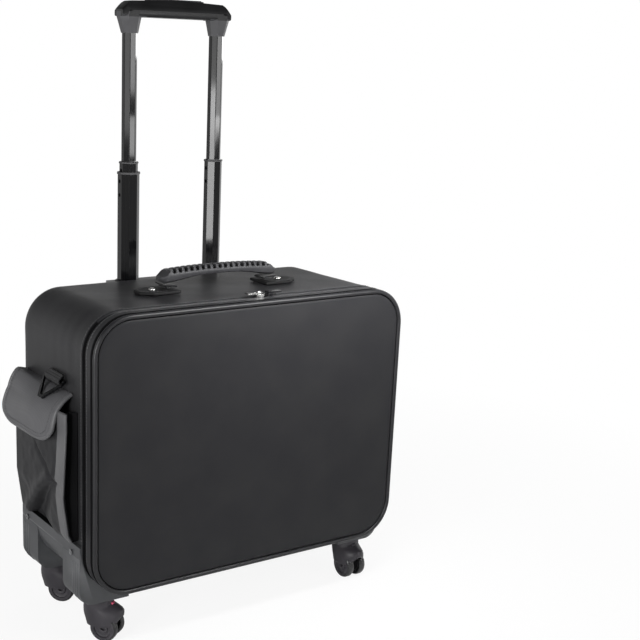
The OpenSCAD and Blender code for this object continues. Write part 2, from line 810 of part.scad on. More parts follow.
// Webbing loops sewn above the flaps, each with a tunnel for its ring
module ring_loops() {
    reach = ring_x - side_x;
    color("#1f1f20") for (s = [-1, 1]) mirror([s > 0 ? 0 : 1, 0, 0])
        along_y(loop_y - loop_w / 2, loop_y + loop_w / 2) difference() {
            union() {
                translate([ring_x, ring_z]) circle(loop_out);
                translate([side_x + seat, ring_z - loop_out * 0.8]) square([reach, loop_out * 0.8 + loop_h]);
            }
            translate([ring_x, ring_z]) circle(loop_in);
            translate([ring_x + loop_out * 0.6, ring_z + loop_out]) square([loop_out, loop_h]);
            translate([side_x - past, ring_z - 2 * loop_out]) square([past + seat, 4 * loop_out + loop_h]);
        }
}

// Triangular strap ring, lying on the flap, for the right side: a round bar and a flat frame
module ring() {
    side_play = 2;
    half = loop_w / 2 + side_play + ring_d;
    tip = 5;
    shank = loop_out + free_play;
    color("#6a6b6e") translate([ring_x, loop_y, ring_z]) rotate([0, ring_lean, 0]) {
        rotate([90, 0, 0]) cylinder(h = 2 * half, d = ring_d, center = true);
        translate([0, 0, -ring_t / 2]) linear_extrude(ring_t) difference() {
            polygon([[0, -half], [0, half], [shank, half], [ring_l, tip], [ring_l, -tip], [shank, -half]]);
            polygon([
                [-past, ring_d - half], [-past, half - ring_d], [shank, half - ring_d],
                [ring_l - ring_d, tip - ring_d * 0.6], [ring_l - ring_d, ring_d * 0.6 - tip], [shank, ring_d - half]
            ]);
        }
    }
}

module ring_left() { mirror([1, 0, 0]) ring(); }
module ring_right() { ring(); }

// Moulded base round one lower side edge, with an arch between its two hollow legs
base_y0 = zip_y + zip_gap / 2 + 1;
base_y1 = back_y - back_r * 0.35;

// Section of a leg, inset by g
module leg_section(g = 0) {
    x = side_x - base_reach + g;
    z = socket_z - (g > 0 ? past : 0);
    h = ground_h + corner_r * 0.9 - z;
    turn_x = side_x + base_t - leg_r;
    turn_z = socket_z + leg_r;
    translate([x, z]) square([turn_x - x, h]);
    translate([x, turn_z]) square([side_x + base_t - g - x, z + h - turn_z]);
    translate([turn_x, turn_z]) circle(leg_r - g);
}

module side_base() {
    arch_r = 8;
    y0 = base_y0 + leg_l;
    y1 = base_y1 - leg_l;
    z = ground_h + arch_h;
    color("#58595c") difference() {
        union() {
            along_y(base_y0, base_y1) intersection() {
                difference() {
                    outline(base_t);
                    outline(seat);
                }
                translate([side_x - base_reach, ground_h - base_t - past])
                    square([base_reach + base_t + past, base_h + base_t + past]);
            }
            for (y = [base_y0, base_y1 - leg_l]) difference() {
                along_y(y, y + leg_l) difference() {
                    leg_section();
                    outline(base_t / 2);
                }
                along_y(y + base_t, y + leg_l - base_t) leg_section(base_t);
            }
        }
        along_x(side_x - base_reach - past, side_x + base_t + past) {
            translate([y0, ground_h - base_t - past]) square([y1 - y0, arch_h + base_t + past - arch_r]);
            translate([y0 + arch_r, ground_h - base_t - past]) square([y1 - y0 - 2 * arch_r, arch_h + base_t + past]);
            for (y = [y0 + arch_r, y1 - arch_r]) translate([y, z - arch_r]) circle(arch_r);
        }
    }
}

module side_base_left() { mirror([1, 0, 0]) side_base(); }
module side_base_right() { side_base(); }

// Cross-slot screws of the bases and the trolley brackets
module screw() {
    slot_l = screw_d * 0.62;
    slot_w = 1;
    difference() {
        cylinder(h = screw_h, d = screw_d);
        for (a = [0, 90]) rotate(a) translate([-slot_l / 2, -slot_w / 2, screw_h / 2]) cube([slot_l, slot_w, screw_h]);
    }
}

module case_screws() {
    base_screw_z = ground_h + base_h - 12;
    from_front = 22;
    from_back = 18;
    color("#8a8c8f") {
        for (s = [-1, 1], y = [base_y0 + from_front, base_y1 - from_back])
            translate([s * (side_x + base_t + seat / 2), y, base_screw_z]) rotate([0, s * 90, 0]) screw();
        for (z = [bracket_top_z, bracket_low_z], x = BRACKET_SCREWS)
            translate([x, rear_y - screw_h - free_play, z + bracket_h / 2]) rotate([-90, 0, 0]) screw();
    }
}

// Round sockets inside the base legs that take the caster stems
module caster_sockets() {
    color("#4c4d50") for (c = CASTERS) difference() {
        translate([c[0], c[1], socket_z]) cylinder(h = ground_h + corner_r / 2 - socket_z, d = socket_d);
        along_y(zip_y - body_d, back_y + body_d) outline(base_t + seat);
        translate([c[0], c[1], socket_z - past]) cylinder(h = stem_l + past, d = stem_d + 2 * bearing_play);
    }
}

// Caster hood: stem, round neck, and a helmet over both wheels with a web between them that holds the axle.
// The helmet is open behind the wheels.
module hood(i) {
    c = CASTERS[i];
    slot = tab_deep + free_play + tab_travel;
    brow = 35;
    inset = 3;
    color("#3c3d40") translate([c[0], c[1], 0]) rotate(c[2]) difference() {
        union() {
            translate([0, 0, neck_z + neck_h - past]) cylinder(h = stem_l + past - free_play, d = stem_d);
            translate([0, 0, neck_z]) cylinder(h = neck_h, d = neck_d);
            along_y(-web_w / 2, web_w / 2) translate([trail, wheel_r]) circle(axle_d);
            along_y(-hood_w / 2, hood_w / 2) {
                translate([trail, wheel_r]) intersection() {
                    circle(fender_r);
                    translate([-fender_r, cheek_rise]) square(2 * fender_r);
                }
                polygon([
                    [inset - neck_d / 2, neck_z + lap], [neck_d / 2 - inset, neck_z + lap],
                    [trail + fender_r * cos(brow), wheel_r + fender_r * sin(brow)],
                    [trail, wheel_r + cheek_rise], [trail - fender_r + inset, wheel_r + cheek_rise]
                ]);
            }
        }
        for (m = [0, 1]) mirror([0, m, 0])
            along_y(web_w / 2, twin_w / 2 + fender_gap) translate([trail, wheel_r]) {
                circle(fender_r - fender_t);
                square([fender_r + past, fender_r - 2 * fender_t]);
            }
        translate([trail, 0, wheel_r]) rotate([90, 0, 0])
            cylinder(h = twin_w, d = axle_d + 2 * bearing_play, center = true);
        box([neck_d / 2 - slot, -tab_w / 2 - free_play, neck_z + (neck_h - tab_h) / 2 - free_play],
            [neck_d / 2 + past, tab_w / 2 + free_play, neck_z + (neck_h + tab_h) / 2 + free_play]);
    }
}

// Wheel pair on its axle
module wheels(i) {
    c = CASTERS[i];
    round = 3;
    y0 = web_w / 2 + free_play;
    color("#2b2c2e") translate([c[0], c[1], 0]) rotate(c[2]) translate([trail, 0, wheel_r]) {
        rotate([90, 0, 0]) cylinder(h = 2 * y0 + 2, d = axle_d, center = true);
        for (s = [-1, 1]) rotate([s * 90, 0, 0]) translate([0, 0, y0]) rotate_extrude() {
            square([wheel_r - round, wheel_w]);
            translate([0, round]) square([wheel_r, wheel_w - 2 * round]);
            for (z = [round, wheel_w - round]) translate([wheel_r - round, z]) circle(round);
        }
    }
}

// Red release tab in the hood's neck
module tab(i) {
    c = CASTERS[i];
    color("#c8425f") translate([c[0], c[1], 0]) rotate(c[2])
        box([neck_d / 2 - tab_deep, -tab_w / 2, neck_z + (neck_h - tab_h) / 2],
            [neck_d / 2 + tab_out, tab_w / 2, neck_z + (neck_h + tab_h) / 2]);
}

body_shell();
zip_tape_case();
trolley_top_bracket();
trolley_bottom_bracket();
housing_left();
housing_right();
stage1_right();
case_screws();
pocket_left();
pocket_right();
ring_loops();
side_base_left();
side_base_right();
caster_sockets();
handle_plates();
handle_rivets();
bin_left();
bin_centre();
bin_right_low();
bin_right_high();
divider_tray();
dividers();
stay_straps();
hinge_strip();
handle_straps();
lid_shell();
lid_piping();
zip_tape_lid();
lid_pockets();
mesh_pocket();
clear_flap();
stage1_left();
stage2_left();
stage2_right();
stage3_left();
stage3_right();
trolley_grip();
release_button();
release_linkage();
carry_grip();
slider_left();
slider_right();
pull_left();
pull_right();
flap_left();
flap_right();
ring_left();
ring_right();
hood(0);  // hood_front_left
hood(1);  // hood_front_right
hood(2);  // hood_rear_left
hood(3);  // hood_rear_right
wheels(0);  // wheels_front_left
wheels(1);  // wheels_front_right
wheels(2);  // wheels_rear_left
wheels(3);  // wheels_rear_right
tab(0);  // tab_front_left
tab(1);  // tab_front_right
tab(2);  // tab_rear_left
tab(3);  // tab_rear_right
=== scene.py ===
"""Rolling makeup case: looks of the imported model, in metres, with sizes worked out in millimetres."""
import json
import math

import bmesh
import bpy
import numpy as np
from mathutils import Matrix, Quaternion, Vector, noise


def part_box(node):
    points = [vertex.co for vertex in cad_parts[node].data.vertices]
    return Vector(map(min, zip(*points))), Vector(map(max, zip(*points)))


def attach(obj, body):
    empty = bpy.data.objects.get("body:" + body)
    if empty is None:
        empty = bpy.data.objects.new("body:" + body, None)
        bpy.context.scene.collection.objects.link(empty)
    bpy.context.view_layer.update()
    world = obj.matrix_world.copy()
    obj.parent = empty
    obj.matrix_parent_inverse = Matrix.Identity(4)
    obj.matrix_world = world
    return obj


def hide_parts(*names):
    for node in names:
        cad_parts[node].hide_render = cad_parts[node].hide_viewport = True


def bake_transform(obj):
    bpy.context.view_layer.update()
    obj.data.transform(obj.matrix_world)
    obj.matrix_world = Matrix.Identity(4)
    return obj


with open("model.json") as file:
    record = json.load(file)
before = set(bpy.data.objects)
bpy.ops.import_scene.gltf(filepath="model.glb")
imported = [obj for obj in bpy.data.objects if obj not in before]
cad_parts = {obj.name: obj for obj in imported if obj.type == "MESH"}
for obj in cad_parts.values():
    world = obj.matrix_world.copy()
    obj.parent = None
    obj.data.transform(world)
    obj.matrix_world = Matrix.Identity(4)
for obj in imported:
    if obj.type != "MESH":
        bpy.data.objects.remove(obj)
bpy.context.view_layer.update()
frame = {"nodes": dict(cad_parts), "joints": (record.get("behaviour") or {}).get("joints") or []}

MM = 0.001
scene = bpy.context.scene
scene.view_settings.view_transform = "Standard"


def put(name, data):
    """A new object in the scene."""
    obj = bpy.data.objects.new(name, data)
    scene.collection.objects.link(obj)
    return obj


# Camera at the photograph's viewing angle
TARGET = Vector((0.00777, -0.0172, 0.3165))
DISTANCE = 1.5645
azimuth, elevation, roll = (math.radians(a) for a in (-32.96, 14.64, 1.58))
look_back = Vector((
    math.sin(azimuth) * math.cos(elevation),
    -math.cos(azimuth) * math.cos(elevation),
    math.sin(elevation),
))
camera = put("camera", bpy.data.cameras.new("camera"))
scene.camera = camera
camera.location = TARGET + DISTANCE * look_back
camera.rotation_mode = "QUATERNION"
camera.rotation_quaternion = look_back.to_track_quat("Z", "Y") @ Quaternion((0, 0, 1), roll)
camera.data.lens = 66.29
camera.data.sensor_width = 36
camera.data.shift_x = 0.157
camera.data.shift_y = 0.072


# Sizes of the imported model
def limits(node):
    """Lowest and highest corner of a CAD node, in mm."""
    return tuple(np.array(corner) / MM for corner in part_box(node))


body_lo, body_hi = limits("body_shell")
lid_lo, lid_hi = limits("lid_shell")
SIDE = body_hi[0]
GROUND, TOP = body_lo[2], body_hi[2]
FRONT, BACK = lid_lo[1], body_hi[1]
ZIP = (lid_hi[1] + body_lo[1]) / 2
MIDDLE = (FRONT + BACK) / 2
JOINTS = {j["name"]: j for j in frame["joints"]}
# Radii of the case's corners seen from the front, of its back edge, and of the bend in the base's legs
CORNER, BACK_R, LEG_R = 50.0, 14.0, 20.0
# Wall thickness, inner edge of the stay straps, and radius that the pocket flaps are bowed to
WALL, STAY_INNER, FLAP_BOW = 6.0, 205.7, 46.0
# Spacing of points round the case
STEP = 6.0
# Insets where a panel's rings start to draw in and where they meet, and half the line they meet in
REACH, HEART, SPINE = 44.0, 150.0, 90.0


# Materials
def paint(hex_colour):
    """An sRGB hex colour as the linear values that a shader takes."""
    srgb = [int(hex_colour[i:i + 2], 16) / 255 for i in (1, 3, 5)]
    return [c / 12.92 if c <= 0.04045 else ((c + 0.055) / 1.055) ** 2.4 for c in srgb] + [1.0]


def add(tree, kind, ins=None, **settings):
    """One node, with its settings, and its inputs as values or as other nodes' outputs."""
    node = tree.nodes.new(kind)
    for key, value in settings.items():
        setattr(node, key, value)
    for key, value in (ins or {}).items():
        if isinstance(value, bpy.types.NodeSocket):
            tree.links.new(value, node.inputs[key])
        else:
            node.inputs[key].default_value = value
    return node


def calc(tree, operation, *values):
    """The result of one sum."""
    return add(tree, "ShaderNodeMath", dict(enumerate(values)), operation=operation).outputs[0]


def ranged(tree, value, low, high, first=0.0, last=1.0):
    """A value that goes from first to last as another goes from low to high."""
    return add(tree, "ShaderNodeMapRange", {
        "Value": value, "From Min": low, "From Max": high, "To Min": first, "To Max": last,
    }).outputs[0]


def noisy(tree, where, size, detail):
    """Noise with bumps about size mm across."""
    return add(tree, "ShaderNodeTexNoise", {
        "Vector": where, "Scale": 1 / (size * MM), "Detail": detail,
    }).outputs["Fac"]


def relief(tree, height, depth, strength, **under):
    """A surface raised by a pattern, depth mm at most, over another Normal where one is given."""
    return add(tree, "ShaderNodeBump", {
        "Height": height, "Distance": depth * MM, "Strength": strength, **under,
    }).outputs["Normal"]


def tones(tree, factor, dark, light, low=0.3, high=0.7):
    """Colour between two tones as a pattern goes from low to high."""
    ramp = add(tree, "ShaderNodeValToRGB", {"Fac": factor})
    for end, place, tone in zip(ramp.color_ramp.elements, (low, high), (dark, light)):
        end.position = place
        end.color = paint(tone)
    return ramp.outputs["Color"]


def blank(name, spec=0.5, **sockets):
    """A material with its shader's plain values set, its node tree, and its Object coordinates."""
    mat = bpy.data.materials.new(name)
    mat.use_nodes = True
    shader = mat.node_tree.nodes["Principled BSDF"]
    shader.inputs["Specular IOR Level"].default_value = spec
    for key, value in sockets.items():
        shader.inputs[key.replace("_", " ")].default_value = value
    return mat, mat.node_tree, add(mat.node_tree, "ShaderNodeTexCoord").outputs["Object"]


def finished(mat, colour, rough, normal):
    """The material, with its colour, roughness and normal joined to its shader."""
    shader = mat.node_tree.nodes["Principled BSDF"]
    for key, value in (("Base Color", colour), ("Roughness", rough), ("Normal", normal)):
        mat.node_tree.links.new(value, shader.inputs[key])
    return mat


def cloth(name, dark, light, thread, rough, depth=0.12, crease=0.5, blotch=45, sheen=0.0, **sockets):
    """Woven cloth: threads both ways at a spacing in mm, soft creases, and uneven dye."""
    mat, tree, where = blank(name, Sheen_Weight=sheen, Sheen_Roughness=0.4, **sockets)
    wave_ins = {"Vector": where, "Scale": 0.1 * math.pi / (thread * MM), "Distortion": 0.4}
    x, y, z = (
        add(tree, "ShaderNodeTexWave", wave_ins, bands_direction=axis).outputs["Fac"] for axis in "XYZ"
    )
    weave = calc(tree, "ADD", calc(tree, "ADD", x, y), z)
    dye = noisy(tree, where, blotch, 4.0)
    soft = relief(tree, noisy(tree, where, 16, 3.0), crease, 0.6)
    return finished(
        mat,
        tones(tree, calc(tree, "MULTIPLY_ADD", weave, 0.16, dye), dark, light, 0.5, 1.0),
        ranged(tree, dye, 0, 1, rough - 0.06, rough + 0.08),
        relief(tree, weave, depth, 0.5, Normal=soft),
    )


def moulded(name, dark, light, worn, grain, rough, depth=0.05, edge=0.58, **sockets):
    """Moulded plastic: fine spark grain, slow colour drift, and a paler worn line on outer edges."""
    mat, tree, where = blank(name, **sockets)
    drift = noisy(tree, where, 30, 3.0)
    bend = add(tree, "ShaderNodeNewGeometry").outputs["Pointiness"]
    rubbed = calc(tree, "MULTIPLY", ranged(tree, bend, edge - 0.04, edge + 0.04), drift)
    body = tones(tree, drift, dark, light)
    return finished(
        mat,
        add(tree, "ShaderNodeMix", {0: rubbed, 6: body, 7: paint(worn)}, data_type="RGBA").outputs[2],
        ranged(tree, drift, 0, 1, rough - 0.08, rough + 0.1),
        relief(tree, noisy(tree, where, grain, 2.0), depth, 0.6),
    )


def drawn_metal(name, dark, light, rough, stretch, **sockets):
    """Drawn or polished metal: long fine streaks along Z, or specks where stretch is 1."""
    mat, tree, where = blank(name, **sockets)
    along = add(tree, "ShaderNodeMapping", {"Vector": where, "Scale": (1.0, 1.0, 1 / stretch)})
    streak = noisy(tree, along.outputs["Vector"], 1.2, 3.0)
    return finished(
        mat,
        tones(tree, streak, dark, light),
        ranged(tree, streak, 0, 1, rough * 0.7, rough * 1.4),
        relief(tree, streak, 0.006, 0.3),
    )


# Coated nylon, woven and then sealed: a fine thread grid under a smooth coat, charcoal with a soft gloss.
# Real threads are 0.4 mm apart, drawn at 1.3 mm so that they show.
NYLON = cloth("coated_nylon", "#232325", "#282829", 1.3, 0.4, 0.06, 0.12, spec=0.1)
# The same cloth over foam on the flaps, a shade paler: painted light, for the extra light that the up-turned
# flaps catch
PADDED = cloth("padded_nylon", "#4b4b4d", "#555557", 1.3, 0.42, 0.08, 0.2, spec=0.2)
# The same cloth, matt and nearly black, used for gussets, zip lips and the hinge: the near-black is painted
# shade in these recesses
GUSSET = cloth("shade_black_nylon", "#0c0c0d", "#121213", 1.3, 0.75, spec=0.02)
# Polyurethane leather cord cover: tight, a little glossier than the cloth, so that it draws a light line
PIPING = moulded("pu_piping", "#1b1b1d", "#212123", "#2c2c2e", 1.4, 0.32, 0.08, 0.7, spec=0.28)
# Bias binding on flap and pocket edges: the same leather cloth, folded, in a paler grey: painted highlight
# for the light that these edges catch
BINDING = moulded("pu_binding", "#4c4c4e", "#585859", "#68686a", 1.4, 0.45, 0.12, 0.7, spec=0.35)
# Zip tape, woven polyester, and nylon coil: ribbed matt tape beside a satin coil
TAPE = cloth("polyester_zip_tape", "#0c0c0d", "#121213", 1.0, 0.7, spec=0.02)
COIL = moulded("nylon_coil", "#101011", "#171718", "#232324", 0.6, 0.4, spec=0.05)
# Polypropylene webbing, woven in coarse ribs with a slight sheen
WEBBING = cloth("polypropylene_webbing", "#111112", "#1c1c1e", 2.2, 0.55, 0.3, 0.2, spec=0.2, sheen=0.1)
# Bonded polyester thread, a shade lighter than what it sews
THREAD = cloth("bonded_thread", "#3c3c3e", "#4a4a4c", 0.8, 0.5)
# Polyester taffeta lining over board: smooth, dark and faintly shiny
LINING = cloth("taffeta_lining", "#18181a", "#232325", 0.9, 0.5, 0.06, 0.35, spec=0.3, sheen=0.1)
# Ruched elastic: the weave shows as close cords
ELASTIC = cloth("ruched_elastic", "#1b1b1d", "#2a2a2c", 1.6, 0.6, 0.3, 0.3, spec=0.2)
# Knitted mesh: dark holes in a grey net, 3 mm apart
NET = cloth("knitted_mesh", "#0a0a0b", "#4a4a4c", 3.0, 0.65, 0.5, 0.2, 300, spec=0.2)
# Clear PVC film, calendered: see-through and glossy, with faint waves
FILM = moulded(
    "clear_pvc", "#e6e8ea", "#f2f4f5", "#ffffff", 9.0, 0.12, 0.15, 0.9, Transmission_Weight=0.95, IOR=1.45
)
# Black anodised aluminium tube, drawn: dark, with a hard clear gloss and fine streaks along its length
ALUMINIUM = drawn_metal("anodised_aluminium", "#0a0a0b", "#101011", 0.07, 60, spec=0.14)
# ABS, moulded in a fine satin grain, black or grey
ABS = moulded("black_abs", "#141415", "#1b1b1c", "#303032", 0.8, 0.34, spec=0.18)
GREY_ABS = moulded("grey_abs", "#3a3a3c", "#444446", "#5c5c5e", 0.8, 0.45, spec=0.2)
# Polypropylene base, moulded, dark grey and satin, rubbed paler along its edges
BASE = moulded("grey_polypropylene", "#3c3d3f", "#464749", "#747577", 0.9, 0.4, spec=0.3)
# Nylon caster hood and wheel hub, moulded dark grey
HOOD = moulded("caster_nylon", "#2f2d31", "#39373b", "#504e52", 0.9, 0.42, spec=0.3)
HUB = moulded("wheel_hub", "#333135", "#3d3b3f", "#504e52", 0.8, 0.4, spec=0.3)
# Polyurethane tyre, moulded black and glossy from rolling
TYRE = moulded("polyurethane_tyre", "#141415", "#1e1e1f", "#2c2c2d", 1.2, 0.22)
# Red acetal release tab, moulded
RED = moulded("red_acetal", "#b32f4e", "#c84566", "#e07a94", 0.8, 0.4)
# Thermoplastic rubber of the carry grip: dark grey ribs over a black core, matt
RUBBER = moulded("grey_rubber", "#2b2b2d", "#343436", "#505052", 1.0, 0.45, spec=0.2)
CORE = moulded("black_rubber", "#0b0b0c", "#121213", "#1c1c1d", 1.0, 0.6, spec=0.2)
# Nickel plate, bright, and black nickel, smoky, on zip and ring hardware
NICKEL = drawn_metal("nickel_plate", "#b4b4b2", "#d2d2d0", 0.16, 1, Metallic=1.0)
BLACK_NICKEL = drawn_metal("black_nickel", "#2c2c2e", "#3c3c3e", 0.25, 1, Metallic=1.0)
# Zinc plated steel of screws, axles and the release linkage
STEEL = drawn_metal("zinc_plated_steel", "#8c8d8f", "#a8a9ab", 0.3, 1, Metallic=1.0)


# Shapes
def clamp(value):
    """A value held between 0 and 1."""
    return min(max(value, 0), 1)


def soft_step(value):
    """A value held between 0 and 1, that starts and ends gently."""
    t = clamp(value)
    return t * t * (3 - 2 * t)


def circle(count):
    """Cosines and sines of even steps round a circle."""
    turn = np.linspace(0, 2 * math.pi, count, endpoint=False)
    return np.cos(turn), np.sin(turn)


def wave(p, size, seed=0.0):
    """Smooth noise between -1 and 1, with bumps about size mm across."""
    return noise.noise(Vector((p[0] / size + seed, p[1] / size - seed, p[2] / size)))


def outline(inset):
    """Points round the case seen from the front, inset mm in from its sides, and the way out at each."""
    mid_x, low, high = SIDE - CORNER, GROUND + CORNER, TOP - CORNER
    across = np.linspace(-mid_x, mid_x, round(2 * mid_x / STEP) + 1)[1:-1]
    up = np.linspace(low, high, round((high - low) / STEP) + 1)[1:-1]
    points, ways = [], []
    corners = ((mid_x, low, -90), (mid_x, high, 0), (-mid_x, high, 90), (-mid_x, low, 180))
    sides = (
        (np.c_[np.full(len(up), SIDE - inset), up], (1, 0)),
        (np.c_[across[::-1], np.full(len(across), TOP - inset)], (0, 1)),
        (np.c_[np.full(len(up), inset - SIDE), up[::-1]], (-1, 0)),
        (np.c_[across, np.full(len(across), GROUND + inset)], (0, -1)),
    )
    for (cx, cz, start), (side, way) in zip(corners, sides):
        turn = np.radians(start + np.linspace(0, 90, 15))
        round_way = np.c_[np.cos(turn), np.sin(turn)]
        points += [np.array([cx, cz]) + (CORNER - inset) * round_way, side]
        ways += [round_way, np.tile(way, (len(side), 1))]
    return np.concatenate(points), np.concatenate(ways).astype(float)


# How many points go round the case, and how many of them the zip passes: all but those along the floor
ROUND = len(outline(0)[0])
ZIPPED = ROUND - (round(2 * (SIDE - CORNER) / STEP) - 1)


def case_ring(inset, y):
    """One ring of the case; past REACH it draws in to the line in the middle of the panel."""
    p, _ = outline(min(inset, REACH))
    if inset > REACH:
        t = (inset - REACH) / (HEART - REACH)
        p = p + (np.c_[np.clip(p[:, 0], -SPINE, SPINE), np.full(len(p), (GROUND + TOP) / 2)] - p) * t
    return np.c_[p[:, 0], np.full(len(p), y), p[:, 1]]


def round_case(inset, y, count=None):
    """A path round the case with its way out, all the way or as far as count points."""
    ways = outline(0)[1][:count]
    up = np.c_[ways[:, 0], np.zeros(len(ways)), ways[:, 1]]
    return case_ring(inset, y)[:count], up, count is None


def loft(rings, caps=False, mat=0):
    """Faces between rings of points: the points, the faces and a material number for each face."""
    rings = np.asarray(rings, float)
    n, m = rings.shape[:2]
    faces = []
    for i in range(n - 1):
        for j in range(m):
            k = (j + 1) % m
            faces.append((i * m + j, i * m + k, (i + 1) * m + k, (i + 1) * m + j))
    if caps:
        faces += [tuple(range(m))[::-1], tuple((n - 1) * m + j for j in range(m))]
    return rings.reshape(-1, 3), faces, [mat] * len(faces)


def gather(*parts):
    """Several lots of points and faces as one."""
    points, faces, mats = [], [], []
    start = 0
    for p, f, m in parts:
        points.append(np.asarray(p, float))
        faces += [tuple(i + start for i in face) for face in f]
        mats += list(m)
        start += len(p)
    return np.concatenate(points), faces, mats


def swept(profile, count=None):
    """A closed profile of inset and y swept round the case, all the way or as far as count points."""
    rings = np.stack([case_ring(inset, y)[:count] for inset, y in profile], axis=1)
    if count is None:
        rings = np.concatenate([rings, rings[:1]])
    return loft(rings, caps=count is not None)


def thick(grid, t, mat=0):
    """A sheet of cloth: a grid of points with a thickness behind it."""
    g = np.asarray(grid, float)
    n = np.cross(np.gradient(g, axis=0), np.gradient(g, axis=1))
    n /= np.linalg.norm(n, axis=2, keepdims=True) + 1e-9
    rings = np.concatenate([g, (g - t * n)[:, ::-1]], axis=1)
    points, faces, mats = loft(rings, mat=mat)
    m, last = g.shape[1], (g.shape[0] - 1) * 2 * g.shape[1]
    for j in range(m - 1):
        end = (j, j + 1, 2 * m - 2 - j, 2 * m - 1 - j)
        faces += [end, tuple(last + i for i in end)]
        mats += [mat, mat]
    return points, faces, mats


def upright(xs, zs, depth):
    """A grid of points that stands in X and Z, with its Y from a function of both."""
    return [[(x, depth(x, z), z) for x in xs] for z in zs]


def two_straps(path, width, t, y):
    """Flat straps along points of x and z and their mirror image, as wide as width in Y about y."""
    parts = []
    for side in (-1, 1):
        grid = [[(side * x, y + w, z) for w in np.linspace(-width / 2, width / 2, 7)] for x, z in path]
        parts.append(thick(grid, t * side))
    return gather(*parts)


def rectangle(lo, hi, y, up, inset=0.0):
    """A closed path round a box seen from the front, at one y, with its way up."""
    x0, x1, z0, z1 = lo[0] + inset, hi[0] - inset, lo[2] + inset, hi[2] - inset
    return np.array([(x0, y, z0), (x1, y, z0), (x1, y, z1), (x0, y, z1)]), up, True


def smooth_path(points, count):
    """Points on a smooth curve through a few given ones."""
    p = np.asarray(points, float)
    p = np.vstack([2 * p[0] - p[1], p, 2 * p[-1] - p[-2]])
    out = []
    for s in np.linspace(0, len(p) - 3, count):
        i = min(int(s), len(p) - 4)
        t = s - i
        a, b, c, d = p[i:i + 4]
        bend, turn = 2 * a - 5 * b + 4 * c - d, 3 * b - a - 3 * c + d
        out.append(0.5 * (2 * b + (c - a) * t + bend * t ** 2 + turn * t ** 3))
    return np.array(out)


def shape(name, part, mats, angle=35):
    """A mesh object from points in mm, merged, with its faces outwards."""
    points, faces, which = part
    mesh = bpy.data.meshes.new(name)
    mesh.from_pydata([tuple(p) for p in np.asarray(points) * MM], [], faces)
    for mat in mats:
        mesh.materials.append(mat)
    mesh.polygons.foreach_set("material_index", which)
    bm = bmesh.new()
    bm.from_mesh(mesh)
    bmesh.ops.remove_doubles(bm, verts=bm.verts, dist=0.01 * MM)
    bmesh.ops.dissolve_degenerate(bm, edges=bm.edges, dist=1e-7)
    bmesh.ops.recalc_face_normals(bm, faces=bm.faces)
    bm.to_mesh(mesh)
    bm.free()
    mesh.shade_smooth()
    mesh.set_sharp_from_angle(angle=math.radians(angle))
    return put(name, mesh)


def settle(obj):
    """Applies an object's modifiers."""
    made = bpy.data.meshes.new_from_object(obj.evaluated_get(bpy.context.evaluated_depsgraph_get()))
    obj.modifiers.clear()
    obj.data = made
    return obj


def keep(obj, body, slot, *nodes):
    """Joins a finished piece to its body and hides the CAD nodes it stands for; its finish, slot, is not
    used.
    """
    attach(obj, body)
    if nodes:
        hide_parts(*nodes)
    return obj


def span(obj, node):
    """Keeps a soft piece where it is built, with its placement baked into its points, and hides the CAD node
    it stands for.
    """
    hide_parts(node)
    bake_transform(obj)


def eased(name, node, mats, width, segments=3):
    """A CAD node's solid, merged, with its edges rounded as a mould leaves them."""
    mesh = frame["nodes"][node].data.copy()
    mesh.name = name
    mesh.materials.clear()
    for mat in mats:
        mesh.materials.append(mat)
    bm = bmesh.new()
    bm.from_mesh(mesh)
    for face in bm.faces:
        face.material_index = 0
    bmesh.ops.remove_doubles(bm, verts=bm.verts, dist=0.002 * MM)
    bmesh.ops.dissolve_limit(
        bm, angle_limit=math.radians(0.5), verts=bm.verts, edges=bm.edges, use_dissolve_boundaries=False
    )
    bm.to_mesh(mesh)
    bm.free()
    mesh.shade_smooth()
    mesh.set_sharp_from_angle(angle=math.radians(30))
    obj = put(name, mesh)
    bevel = obj.modifiers.new("edges", "BEVEL")
    bevel.width = width * MM
    bevel.segments = segments
    bevel.limit_method = "ANGLE"
    bevel.angle_limit = math.radians(24)
    bevel.harden_normals = True
    bevel.use_clamp_overlap = True
    return settle(obj)


def fitted(name, node, mat, width, body, slot, segments=3):
    """A CAD node with rounded edges in one material, kept in the node's place."""
    return keep(eased(name, node, [mat], width, segments), body, slot, node)


# Node trees for what repeats
def group(name, **inputs):
    """An empty geometry tree with named inputs, and its ends."""
    tree = bpy.data.node_groups.new(name, "GeometryNodeTree")
    tree.interface.new_socket("Path", in_out="INPUT", socket_type="NodeSocketGeometry")
    for key, kind in inputs.items():
        tree.interface.new_socket(key, in_out="INPUT", socket_type=kind)
    tree.interface.new_socket("Made", in_out="OUTPUT", socket_type="NodeSocketGeometry")
    return tree, tree.nodes.new("NodeGroupInput").outputs, tree.nodes.new("NodeGroupOutput").inputs


def made_real(tree, geometry, ins, ends):
    """Ends a tree with real geometry in the material it is given."""
    real = add(tree, "GeometryNodeRealizeInstances", {"Geometry": geometry}).outputs[0]
    shown = add(tree, "GeometryNodeSetMaterial", {"Geometry": real, "Material": ins["Material"]})
    tree.links.new(shown.outputs[0], ends["Made"])
    return tree


